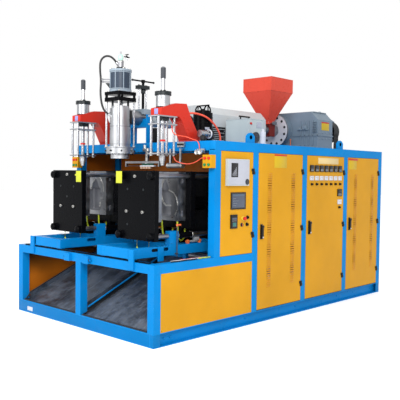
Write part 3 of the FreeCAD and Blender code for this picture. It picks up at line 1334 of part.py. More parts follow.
def door_instruments():
    """Seven controllers, meters and switches in rows, the title plate, and the screw's own set."""
    pieces = [block((2452, 2873), (-2, 0), (1619, 1688))]
    for i in range(INSTRUMENT_COUNT):
        left = FIRST_CONTROLLER_X + i * INSTRUMENT_PITCH
        pieces.append(block((left, left + CONTROLLER), (-12, 0), (1530, 1530 + CONTROLLER)))
        pieces.append(block((left + 2, left + 70), (-10, 0), (1435, 1483)))
        switch = turned((left + 36, 1392.0), [(15.0, -5, 0), (11.0, -22, -5)], "y")
        pieces.append(switch)
    pieces.append(block((2861, 2861 + CONTROLLER + 20), (-12, 0), (1252, 1333)))
    pieces.append(block((2869, 2949), (-10, 0), (1157, 1212)))
    pieces.append(turned((2905.0, 1121.0), [(15.0, -5, 0), (11.0, -22, -5)], "y"))
    return group(pieces)


# ---- all the nodes -------------------------------------------------------------------------
def all_nodes():
    nodes = {
        "base_frame": base_frame, "table_frame": table_frame, "cabinet_frame": cabinet_frame,
        "side_panels": side_panels, "discharge_chutes": discharge_chutes,
        "drive_cylinders": drive_cylinders, "blow_arms": blow_arms, "blow_units": blow_units,
        "die_head": die_head, "head_frame": head_frame, "head_cylinder": head_cylinder,
        "parison_rod": parison_rod, "head_hose": head_hose, "air_tubes": air_tubes,
        "extruder_barrel": extruder_barrel, "feed_section": feed_section, "barrel_cover": barrel_cover,
        "hopper": hopper, "hopper_gate": hopper_gate, "extruder_screw": extruder_screw,
        "gearbox": gearbox, "gearbox_pulley": gearbox_pulley, "motor_pulley": motor_pulley,
        "drive_belts": drive_belts, "main_motor": main_motor, "hydraulic_unit": hydraulic_unit,
        "electrical_plate": electrical_plate, "barrel_support": barrel_support,
        "cutter_arm": cutter_arm, "jack_screw": jack_screw, "vacuum_tank": vacuum_tank,
        "loader_box": loader_box, "air_service_unit": air_service_unit,
        "valve_handwheel": valve_handwheel, "pendant_boxes": pendant_boxes,
        "door_hinges": door_hinges, "control_instruments": control_instruments,
        "estop_button": estop_button, "door_instruments": door_instruments,
    }
    shapes = {name: make() for name, make in nodes.items()}
    for side in ("near", "far"):
        shapes[side + "_carriage"] = carriage(side)
        shapes[side + "_front_clamp"] = front_clamp(side)
        shapes[side + "_rear_clamp"] = rear_clamp(side)
        shapes[side + "_front_mould"] = mould(side, True)
        shapes[side + "_rear_mould"] = mould(side, False)
        shapes[side + "_water_hoses"] = water_hoses(side)
        shapes[side + "_blow_pin"] = blow_pin(side)
    for name in all_doors():
        shapes[name] = door(name)
    for name in DOORS:
        shapes[name.replace("door", "handle")] = handle(name)
    return shapes


def main():
    os.makedirs("parts", exist_ok=True)
    for name, shape in all_nodes().items():
        shape.translate(-ORIGIN)
        shape.exportStep("parts/" + name + ".step")


if __name__ == "__main__":
    main()
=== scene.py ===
import math

import bmesh
import bpy
from mathutils import Matrix, Vector


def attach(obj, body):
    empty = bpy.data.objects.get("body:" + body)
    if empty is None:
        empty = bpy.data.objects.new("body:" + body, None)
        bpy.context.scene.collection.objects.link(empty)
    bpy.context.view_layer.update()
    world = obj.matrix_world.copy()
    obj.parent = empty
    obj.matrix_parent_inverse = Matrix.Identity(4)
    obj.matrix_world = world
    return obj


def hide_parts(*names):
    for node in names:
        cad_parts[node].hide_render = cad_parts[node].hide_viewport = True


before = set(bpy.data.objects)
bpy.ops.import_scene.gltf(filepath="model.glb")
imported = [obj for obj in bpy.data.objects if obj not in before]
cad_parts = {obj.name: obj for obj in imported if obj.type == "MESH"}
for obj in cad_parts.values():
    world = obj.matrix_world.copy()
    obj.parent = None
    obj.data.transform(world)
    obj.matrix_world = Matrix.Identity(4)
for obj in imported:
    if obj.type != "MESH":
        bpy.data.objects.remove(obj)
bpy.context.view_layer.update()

# Sizes are in the machine's own millimetres, from its near bottom corner at the mould end.
ORIGIN = (1942.0, 1066.5, 0.0)
LENGTH = 3914.0
WIDTH = 2166.0
MID_Y = WIDTH / 2
AXIS_X = 505.0
AXIS_Z = 2061.0
HEAD = (AXIS_X, MID_Y)
SCREW_LINE = (MID_Y, AXIS_Z)
SIDES = ("near", "far")
STATION_Y = {"near": 534.0, "far": 1632.0}
BLOW_Y = {"near": 453.0, "far": 1713.0}
OUTWARD = {"near": 1, "far": -1}
ANY_LOW = -math.inf
ANY_HIGH = math.inf
ANY = (ANY_LOW, ANY_HIGH)


def at(x, y, z):
    """A point of the machine as a place in the frame, in metres."""
    return Vector(((x - ORIGIN[0]) / 1000, (y - ORIGIN[1]) / 1000, (z - ORIGIN[2]) / 1000))


# ---- camera --------------------------------------------------------------------------------
CAMERA_PLACE = (-3574.7, -3937.5, 1483.1)
CAMERA_YAW = 0.76219
CAMERA_PITCH = -0.04014
CAMERA_ROLL = 0.01222
LENS = 57.0


def make_camera():
    data = bpy.data.cameras.new("camera")
    data.lens = LENS
    camera = bpy.data.objects.new("camera", data)
    bpy.context.scene.collection.objects.link(camera)
    forward = Vector((math.cos(CAMERA_YAW) * math.cos(CAMERA_PITCH),
                      math.sin(CAMERA_YAW) * math.cos(CAMERA_PITCH), math.sin(CAMERA_PITCH)))
    level = Vector((math.sin(CAMERA_YAW), -math.cos(CAMERA_YAW), 0))
    lift = level.cross(forward)
    right = level * math.cos(CAMERA_ROLL) + lift * math.sin(CAMERA_ROLL)
    up = lift * math.cos(CAMERA_ROLL) - level * math.sin(CAMERA_ROLL)
    turn = Matrix((right, up, -forward)).transposed()
    camera.matrix_world = Matrix.Translation(at(*CAMERA_PLACE)) @ turn.to_4x4()
    bpy.context.scene.camera = camera


# ---- materials -----------------------------------------------------------------------------
class Material:
    """A node material with short calls for what the finishes below need."""

    def __init__(self, name, colour, metallic=0.0, rough=0.5):
        self.data = bpy.data.materials.new(name)
        self.data.use_nodes = True
        self.tree = self.data.node_tree
        self.shader = self.tree.nodes["Principled BSDF"]
        self.set(Metallic=metallic, Roughness=rough, Base_Color=(*colour, 1.0))
        self.place = self.node("ShaderNodeTexCoord").outputs["Object"]
        self.bevel = None

    def node(self, kind, **values):
        made = self.tree.nodes.new(kind)
        for key, value in values.items():
            setattr(made, key, value)
        return made

    def link(self, source, target):
        self.tree.links.new(source, target)

    def set(self, **values):
        for key, value in values.items():
            self.shader.inputs[key.replace("_", " ")].default_value = value

    def multiply(self, a, b):
        """The product of a socket and a number or another socket."""
        made = self.node("ShaderNodeMath", operation="MULTIPLY")
        self.link(a, made.inputs[0])
        if isinstance(b, float):
            made.inputs[1].default_value = b
        else:
            self.link(b, made.inputs[1])
        return made.outputs[0]

    def noise(self, scale, detail=4.0, rough=0.55, stretch=None):
        made = self.node("ShaderNodeTexNoise")
        for key, number in (("Scale", scale), ("Detail", detail), ("Roughness", rough)):
            made.inputs[key].default_value = number
        source = self.place
        if stretch:
            mapping = self.node("ShaderNodeMapping")
            mapping.inputs["Scale"].default_value = stretch
            self.link(source, mapping.inputs["Vector"])
            source = mapping.outputs[0]
        self.link(source, made.inputs["Vector"])
        return made.outputs["Fac"]

    def ramp(self, value, low, high, to_low=0.0, to_high=1.0):
        made = self.node("ShaderNodeMapRange")
        for key, number in (("From Min", low), ("From Max", high), ("To Min", to_low), ("To Max", to_high)):
            made.inputs[key].default_value = number
        self.link(value, made.inputs["Value"])
        return made.outputs[0]

    def mix(self, factor, first, second):
        """Blends two colours; a colour is a tuple or a socket."""
        made = self.node("ShaderNodeMix", data_type="RGBA")
        self.link(factor, made.inputs["Factor"])
        for socket, value in ((made.inputs[6], first), (made.inputs[7], second)):
            if isinstance(value, tuple):
                socket.default_value = (*value, 1.0)
            else:
                self.link(value, socket)
        return made.outputs[2]

    def paint(self, colour):
        self.link(colour, self.shader.inputs["Base Color"])

    def roughness(self, value):
        self.link(value, self.shader.inputs["Roughness"])

    def bump(self, height, strength, distance=0.001):
        made = self.node("ShaderNodeBump")
        made.inputs["Strength"].default_value = strength
        made.inputs["Distance"].default_value = distance
        self.link(height, made.inputs["Height"])
        if self.bevel is not None:
            self.link(self.bevel, made.inputs["Normal"])
        self.link(made.outputs[0], self.shader.inputs["Normal"])

    def edges(self, radius):
        """Rounds the edges in the light and returns how near an edge a point is, from 0 to 1."""
        soft = self.node("ShaderNodeBevel", samples=4)
        soft.inputs["Radius"].default_value = radius
        self.bevel = soft.outputs[0]
        self.link(self.bevel, self.shader.inputs["Normal"])
        true = self.node("ShaderNodeNewGeometry").outputs["True Normal"]
        dot = self.node("ShaderNodeVectorMath", operation="DOT_PRODUCT")
        self.link(self.bevel, dot.inputs[0])
        self.link(true, dot.inputs[1])
        return self.ramp(dot.outputs["Value"], 0.99, 0.8)


def darker(colour, share):
    return tuple(c * share for c in colour)


def lighter(colour, share):
    return tuple(min(1.0, c * (1 + 1.6 * share) + 0.012 * share) for c in colour)


GRIME = (0.16, 0.14, 0.11)
RUST = (0.10, 0.07, 0.05)
DEEP_SHADE = (0.020, 0.010, 0.004)


def enamel(name, colour, rough=0.35, wear=0.25, worn=(0.35, 0.34, 0.32), dirt=0.12, shine=0.22):
    """Sprayed enamel with faint orange peel, slow drifts of tone, grime and worn edges."""
    m = Material(name, colour, rough=rough)
    near_edge = m.edges(0.002)
    drift = m.ramp(m.noise(1.7, 5.0), 0.3, 0.7)
    tone = m.mix(drift, darker(colour, 0.88), lighter(colour, 0.04))
    grime = m.multiply(m.ramp(m.noise(9.0, 8.0, 0.7), 0.5, 0.8), dirt)
    tone = m.mix(grime, tone, GRIME)
    chips = m.multiply(near_edge, m.ramp(m.noise(55.0, 6.0, 0.7), 0.5, 0.62))
    m.paint(m.mix(m.multiply(chips, wear), tone, worn))
    m.roughness(m.ramp(m.noise(14.0, 5.0), 0.25, 0.75, rough * 0.8, rough * 1.35))
    m.bump(m.noise(260.0, 2.0), 0.05)
    m.set(Specular_IOR_Level=shine)
    return m.data


def shaded(name, colour, low, high):
    """The inner face of a panel, browner toward its top where little light falls."""
    m = Material(name, colour, rough=0.5)
    m.edges(0.002)
    apart = m.node("ShaderNodeSeparateXYZ")
    m.link(m.place, apart.inputs[0])
    height = m.ramp(apart.outputs[2], low, high)
    drift = m.ramp(m.noise(2.0, 6.0), 0.3, 0.7)
    m.paint(m.mix(height, m.mix(drift, darker(colour, 0.8), lighter(colour, 0.1)), DEEP_SHADE))
    m.roughness(m.ramp(m.noise(12.0, 5.0), 0.3, 0.7, 0.4, 0.6))
    m.bump(m.noise(200.0, 2.0), 0.04)
    m.set(Specular_IOR_Level=0.1)
    return m.data


def machined(name, colour, rough=0.34, stretch=(1, 1, 1), contrast=0.12):
    """Bare machined metal with fine tool lines, and faint smears."""
    m = Material(name, colour, metallic=1.0, rough=rough)
    m.edges(0.0015)
    lines = m.noise(220.0, 3.0, 0.6, stretch)
    smear = m.ramp(m.noise(6.0, 6.0), 0.3, 0.75)
    tone = m.mix(smear, darker(colour, 1 - contrast), lighter(colour, contrast * 0.6))
    m.paint(m.mix(m.ramp(lines, 0.35, 0.65), tone, darker(colour, 1 - contrast * 0.7)))
    m.roughness(m.ramp(m.noise(18.0, 5.0), 0.3, 0.7, rough * 0.75, rough * 1.5))
    m.bump(lines, 0.06)
    return m.data


def plated(name, colour, rough=0.12):
    """Ground and plated rod with faint handling marks."""
    m = Material(name, colour, metallic=1.0, rough=rough)
    m.paint(m.mix(m.ramp(m.noise(12.0, 5.0), 0.4, 0.7), colour, darker(colour, 0.82)))
    m.roughness(m.ramp(m.noise(30.0, 4.0), 0.3, 0.7, rough * 0.6, rough * 2.2))
    m.bump(m.noise(300.0, 2.0), 0.015)
    return m.data


def worn_sheet(name, colour):
    """Bare mild steel sheet, scuffed along the slope and stained."""
    m = Material(name, colour, metallic=0.75, rough=0.42)
    scuffs = m.noise(9.0, 9.0, 0.75, (0.5, 2.2, 0.5))
    stains = m.ramp(m.noise(3.4, 9.0, 0.72), 0.40, 0.62)
    tone = m.mix(stains, darker(colour, 0.5), lighter(colour, 0.25))
    rust = m.ramp(m.noise(3.4, 8.0, 0.7), 0.56, 0.74)
    tone = m.mix(m.multiply(rust, 0.5), tone, RUST)
    m.paint(m.mix(m.ramp(scuffs, 0.52, 0.75), tone, lighter(colour, 0.6)))
    m.roughness(m.ramp(stains, 0.0, 1.0, 0.3, 0.62))
    m.bump(scuffs, 0.05)
    return m.data


def plastic(name, colour, rough=0.42, grain=420.0):
    """Moulded plastic with a fine grain."""
    m = Material(name, colour, rough=rough)
    m.edges(0.0012)
    m.paint(m.mix(m.ramp(m.noise(8.0, 4.0), 0.3, 0.7), darker(colour, 0.85), lighter(colour, 0.03)))
    m.roughness(m.ramp(m.noise(25.0, 3.0), 0.3, 0.7, rough * 0.85, rough * 1.25))
    m.bump(m.noise(grain, 2.0), 0.05)
    m.set(Specular_IOR_Level=0.3)
    return m.data


def rubber(name, colour, rough=0.6):
    m = Material(name, colour, rough=rough)
    m.paint(m.mix(m.ramp(m.noise(20.0, 6.0), 0.35, 0.7), colour, lighter(colour, 0.06)))
    m.roughness(m.ramp(m.noise(40.0, 4.0), 0.3, 0.7, rough * 0.8, rough * 1.2))
    m.bump(m.noise(500.0, 3.0), 0.08)
    return m.data


def casting(name, colour):
    """Painted casting with the sand's grain under the paint."""
    m = Material(name, colour, rough=0.4)
    near_edge = m.edges(0.004)
    drift = m.ramp(m.noise(3.0, 5.0), 0.3, 0.7)
    tone = m.mix(drift, darker(colour, 0.82), lighter(colour, 0.06))
    m.paint(m.mix(m.multiply(near_edge, 0.25), tone, lighter(colour, 0.35)))
    m.bump(m.noise(70.0, 5.0), 0.16, 0.002)
    m.set(Specular_IOR_Level=0.3)
    return m.data


def glass(name, colour, rough=0.12):
    m = Material(name, colour, rough=rough)
    m.set(Specular_IOR_Level=0.35, Coat_Weight=0.15, Coat_Roughness=0.05)
    m.paint(m.mix(m.ramp(m.noise(5.0, 3.0), 0.35, 0.7), colour, lighter(colour, 0.05)))
    return m.data


BLUE = (0.001, 0.185, 0.50)
MATERIALS = {}


def make_enamels():
    for key, name, colour, options in (
            ("blue", "blue_enamel", BLUE, dict(rough=0.3, dirt=0.05, shine=0.05)),
            # A darker copy of the blue: painted shade for the low base covers by the floor.
            ("blue_painted_shade", "blue_painted_shade", darker(BLUE, 0.78), dict(rough=0.34, dirt=0.08, shine=0.05)),
            ("yellow", "yellow_enamel", (0.52, 0.252, 0.007),
             dict(rough=0.32, wear=0.2, worn=(0.8, 0.6, 0.3), dirt=0.04, shine=0.10)),
            # A darker, more orange copy of the yellow: painted shade for panel faces deep inside the
            # machine.
            ("panel_painted_shade", "panel_painted_shade_enamel", (0.40, 0.10, 0.004), dict(rough=0.45, wear=0.1, dirt=0.1)),
            ("black", "black_enamel", (0.0020, 0.0022, 0.0030),
             dict(rough=0.24, wear=0.2, dirt=0.0, shine=0.045)),
            ("red", "red_enamel", (0.48, 0.020, 0.008), dict(rough=0.3, wear=0.3, dirt=0.04)),
            ("dark_red", "dark_red_enamel", (0.16, 0.012, 0.008), {}),
            ("hopper", "hopper_enamel", (0.60, 0.066, 0.040),
             dict(rough=0.28, wear=0.2, dirt=0.02, shine=0.12)),
            ("cover", "cover_grey", (0.47, 0.49, 0.50), dict(rough=0.38, wear=0.1, dirt=0.04)),
            ("housing", "housing_grey", (0.41, 0.46, 0.465), dict(rough=0.42, wear=0.1, dirt=0.04)),
            ("window_grey", "window_grey", (0.37, 0.385, 0.44), dict(rough=0.4, wear=0.05, dirt=0.03)),
            # An orange-red strip colour: painted shade lines under the vent hoods.
            ("louvre_painted_shade", "louvre_painted_shade", (0.60, 0.22, 0.025), dict(rough=0.4, wear=0.0, dirt=0.02)),
            ("shade", "shade_brown", (0.030, 0.018, 0.012), dict(rough=0.6, wear=0.0, dirt=0.0, shine=0.05)),
            ("cream", "cream_plate", (0.60, 0.46, 0.22), dict(wear=0.0, dirt=0.05)),
            ("field_red", "field_red", (0.46, 0.03, 0.012), dict(wear=0.0, dirt=0.03)),
            ("field_yellow", "field_yellow", (0.50, 0.34, 0.010), dict(wear=0.0, dirt=0.05)),
            ("plate_lime", "plate_lime", (0.47, 0.50, 0.030), dict(wear=0.0, dirt=0.04)),
            # A bluish violet colour: a painted reflection on the blow arm's front.
            ("violet_painted_reflection", "violet_painted_reflection", (0.27, 0.28, 0.58), dict(wear=0.0, dirt=0.05)),
            ("white_enamel", "white_enamel", (0.52, 0.53, 0.57), dict(wear=0.2))):
        MATERIALS[key] = enamel(name, colour, **options)


def make_metals():
    made = MATERIALS
    # The far side panel's inner face: a darker, more orange copy of the yellow, with painted shade growing
    # toward its top.
    made["far_panel_painted_shade"] = shaded("far_panel_painted_shade", (0.46, 0.125, 0.006), 0.36, 0.62)
    made["gear"] = casting("gear_grey", (0.150, 0.205, 0.260))
    made["gear_light"] = casting("gear_light", (0.22, 0.27, 0.32))
    made["gear_dark"] = casting("gear_dark", (0.022, 0.036, 0.060))
    made["dark_cast"] = casting("dark_casting", (0.008, 0.012, 0.014))
    made["steel"] = machined("machined_steel", (0.33, 0.33, 0.35), contrast=0.25)
    made["aluminium"] = machined("machined_aluminium", (0.45, 0.46, 0.48), stretch=(1, 1, 12), contrast=0.2)
    made["mould"] = machined("mould_face", (0.34, 0.35, 0.37), stretch=(8, 1, 1), contrast=0.4)
    made["chrome"] = plated("plated_rod", (0.52, 0.53, 0.56))
    made["cavity"] = rubber("mould_cavity", (0.17, 0.175, 0.195), 0.4)
    made["sheet"] = worn_sheet("worn_sheet", (0.140, 0.165, 0.205))
    made["brass"] = machined("brass", (0.62, 0.36, 0.10), 0.3)
    made["zinc"] = machined("zinc_bolt", (0.62, 0.61, 0.58), 0.3)


def make_plastics():
    for name, make, colour, *options in (
            ("black_plastic", plastic, (0.006, 0.006, 0.007)),
            ("white_plastic", plastic, (0.54, 0.55, 0.60), 0.38),
            ("grey_plastic", plastic, (0.28, 0.29, 0.30)),
            ("knob_grey", plastic, (0.040, 0.044, 0.052), 0.45),
            ("yellow_plastic", plastic, (0.70, 0.52, 0.05), 0.35),
            ("orange_plastic", plastic, (0.66, 0.15, 0.045), 0.35),
            ("red_plastic", plastic, (0.58, 0.015, 0.010), 0.3),
            ("green_plastic", plastic, (0.01, 0.20, 0.06), 0.3),
            ("dark_green", plastic, (0.004, 0.05, 0.03), 0.35),
            ("hose_red", plastic, (0.78, 0.095, 0.050), 0.25, 150.0),
            ("hose_green", plastic, (0.50, 0.58, 0.03), 0.28, 150.0),
            ("hose_black", rubber, (0.006, 0.006, 0.007)),
            ("belt_rubber", rubber, (0.012, 0.012, 0.012), 0.75),
            ("ceramic", plastic, (0.42, 0.26, 0.18), 0.5),
            ("dark_glass", glass, (0.006, 0.006, 0.009), 0.06),
            ("screen_glass", glass, (0.055, 0.068, 0.100)),
            ("display_blue", glass, (0.06, 0.095, 0.14)),
            ("display_green", glass, (0.02, 0.12, 0.11), 0.15),
            ("gauge_glass", glass, (0.38, 0.58, 0.50), 0.1)):
        MATERIALS[name] = make(name, colour, *options)


# ---- finishes of the CAD nodes ---------------------------------------------------------------
FINISH_NODES = {
    "blue": "base_frame table_frame cabinet_frame barrel_support near_carriage far_carriage",
    "yellow": "side_panels pendant_boxes control_door door_1 door_2 door_3",
    "black": ("head_frame jack_screw vacuum_tank near_front_clamp far_front_clamp near_rear_clamp "
              "far_rear_clamp"),
    "steel": "drive_cylinders extruder_barrel hopper_gate extruder_screw cutter_arm",
    "aluminium": "blow_units die_head air_service_unit", "chrome": "parison_rod near_blow_pin far_blow_pin",
    "mould": "near_front_mould far_front_mould near_rear_mould far_rear_mould",
    "gear": "gearbox main_motor hydraulic_unit", "dark_cast": "gearbox_pulley motor_pulley",
    "black_plastic": "door_hinges door_instruments handle_1 handle_2 handle_3",
    "housing": "loader_box control_instruments", "sheet": "discharge_chutes", "red": "blow_arms",
    "gear_dark": "head_cylinder", "dark_red": "feed_section", "cover": "barrel_cover", "hopper": "hopper",
    "belt_rubber": "drive_belts", "grey_plastic": "electrical_plate", "white_enamel": "valve_handwheel",
    "red_plastic": "estop_button",
}


def finish_nodes():
    for finish, nodes in FINISH_NODES.items():
        for node in nodes.split():
            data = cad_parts[node].data
            data.materials.clear()
            data.materials.append(MATERIALS[finish])


def repaint(node, finish, x=ANY, y=ANY, z=ANY, also=None):
    """Gives another finish to the node's faces that lie within the limits and pass the test."""
    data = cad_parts[node].data
    index = data.materials.find(MATERIALS[finish].name)
    if index < 0:
        data.materials.append(MATERIALS[finish])
        index = len(data.materials) - 1
    for face in data.polygons:
        c = face.center
        place = (c.x * 1000 + ORIGIN[0], c.y * 1000 + ORIGIN[1], c.z * 1000)
        inside = all(low < value < high for value, (low, high) in zip(place, (x, y, z)))
        if inside and (also is None or also(*place, face.normal)):
            face.material_index = index


RAIL_Z = (712.5, 724.5)
TABLE_TOP = 712.0
PARTITION_X = (1339, 1344)
FAR_PANEL_Y = (WIDTH - 30, ANY_HIGH)
PANEL_FACE = -0.2
HEAD_PLATES = 2200.0
HEAD_CYLINDER_BAND = (2323.0, 2503.0)
HEAD_CYLINDER_TOP = 2525.0
TIE_BAR_Z = ((887.0, 933.0), (1442.0, 1488.0))
PLATEN_ROD_X = (301, 1119)
COVER_FACE = MID_Y - 183.0


def off_screw_line(radius):
    return lambda x, y, z, n: math.hypot(y - MID_Y, z - AXIS_Z) > radius


def repaint_frames():
    def inner(x, y, z, n):
        return n.y < -0.5
    # The rails along the table top are black: partly their own dark colour, partly painted shade under the
    # carriages.
    repaint("table_frame", "black", z=RAIL_Z)
    # The bay's back partition is a yellow panel, painted darker orange as painted shade.
    repaint("side_panels", "panel_painted_shade", PARTITION_X, z=(TABLE_TOP, ANY_HIGH))
    repaint("side_panels", "shade", (1200, PARTITION_X[1]), z=(ANY_LOW, TABLE_TOP),
            also=lambda x, y, z, n: n.x < -0.5)
    # The far panel's inner face carries painted shade: darker orange above the table, and browner toward the
    # table's level below it.
    repaint("side_panels", "panel_painted_shade", y=FAR_PANEL_Y, z=(TABLE_TOP, ANY_HIGH), also=inner)
    repaint("side_panels", "far_panel_painted_shade", y=FAR_PANEL_Y, z=(ANY_LOW, TABLE_TOP), also=inner)
    # The near chute's lip by the divider is bare steel painted near-black: painted shade.
    repaint("discharge_chutes", "dark_cast", y=(MID_Y - 70, MID_Y), z=(140, ANY_HIGH))
    for side, middle in STATION_Y.items():
        repaint(side + "_rear_mould", "cavity", (610.8, 705), (middle - 165, middle + 165), (1060, 1503))
        repaint(side + "_carriage", "black", (579, 901), z=(823.5, 868.5),
                also=lambda x, y, z, n: abs(abs(abs(y - MID_Y) - 549) - 105) < 27)
        repaint(side + "_carriage", "black", (560.5, 774), z=(880, 940))
        for span in TIE_BAR_Z:
            repaint(side + "_front_clamp", "steel", PLATEN_ROD_X, z=span,
                    also=lambda x, y, z, n: abs(n.x) < 0.5)
        repaint(side + "_rear_clamp", "chrome", (772, PLATEN_ROD_X[1]), z=(1150, 1230))


def repaint_head_and_extruder():
    repaint("blow_units", "chrome", z=(1681, 1943))
    repaint("blow_units", "chrome", z=(1957, 2017))
    repaint("blow_units", "dark_cast", z=(2219.5, ANY_HIGH))
    for side in SIDES:
        repaint(side + "_blow_pin", "knob_grey", z=(2379.5, 2479.5))
        repaint(side + "_blow_pin", "aluminium", z=(ANY_LOW, 1661))
    repaint("head_frame", "chrome", z=(ANY_LOW, HEAD_PLATES))
    repaint("head_cylinder", "gear_light", z=(2300, HEAD_CYLINDER_TOP + 0.5),
            also=lambda x, y, z, n: not HEAD_CYLINDER_BAND[0] < z < HEAD_CYLINDER_BAND[1])
    repaint("head_cylinder", "dark_cast", z=(HEAD_CYLINDER_TOP + 1, 2562))
    repaint("head_cylinder", "steel", z=(2562, ANY_HIGH))
    repaint("barrel_support", "chrome", z=(2151, 2361))
    repaint("barrel_support", "dark_cast", z=(2361, ANY_HIGH))
    repaint("barrel_support", "gear_light", z=(2094, 2150.5))
    repaint("barrel_support", "zinc", (ANY_LOW, 748.5), z=(ANY_LOW, 1780))
    repaint("extruder_barrel", "housing", (859, 1391), also=off_screw_line(80))
    repaint("feed_section", "hopper", (ANY_LOW, 3000), z=(2133.5, ANY_HIGH))
    repaint("feed_section", "steel", (2978, 3065))
    repaint("feed_section", "white_enamel", (3065.5, ANY_HIGH))
    repaint("feed_section", "dark_cast", (3053, 3065.5), also=off_screw_line(150))


def repaint_deck_and_doors():
    front = (ANY_LOW, 479.5)
    repaint("loader_box", "black_plastic", z=(2100.5, ANY_HIGH))
    repaint("loader_box", "black_plastic", y=front, z=(ANY_LOW, 1960))
    repaint("loader_box", "window_grey", (1900, ANY_HIGH), front, (2000, ANY_HIGH))
    repaint("loader_box", "red_plastic", (ANY_LOW, 1900), front, (2000, ANY_HIGH))
    repaint("air_service_unit", "white_plastic", (1790, ANY_HIGH))
    repaint("air_service_unit", "white_plastic", (ANY_LOW, 715), (ANY_LOW, 300), (1600, ANY_HIGH))
    repaint("pendant_boxes", "red_plastic", (ANY_LOW, 687.8), z=(1605, ANY_HIGH))
    repaint("pendant_boxes", "green_plastic", (ANY_LOW, 687.8), z=(ANY_LOW, 1605))
    for door in ("control_door", "door_1", "door_2", "door_3"):
        repaint(door, "black_plastic", y=(ANY_LOW, PANEL_FACE))
    repaint("control_instruments", "black_plastic", z=(ANY_LOW, 1350))
    repaint("control_instruments", "yellow_plastic",
            also=lambda x, y, z, n: math.hypot(x - 1151, z - 1063) < 22)
    repaint("control_instruments", "knob_grey", y=(ANY_LOW, -30.2))
    repaint("door_instruments", "cream", z=(1610, ANY_HIGH))
    repaint("door_instruments", "white_plastic", z=(1434, 1484))
    repaint("door_instruments", "white_plastic", z=(1156, 1213))
    repaint("electrical_plate", "black_plastic", y=(249, 289))


# ---- mesh pieces -----------------------------------------------------------------------------
# Edges that turn by more than this many radians stay sharp.
SHARP_ANGLE = 0.6


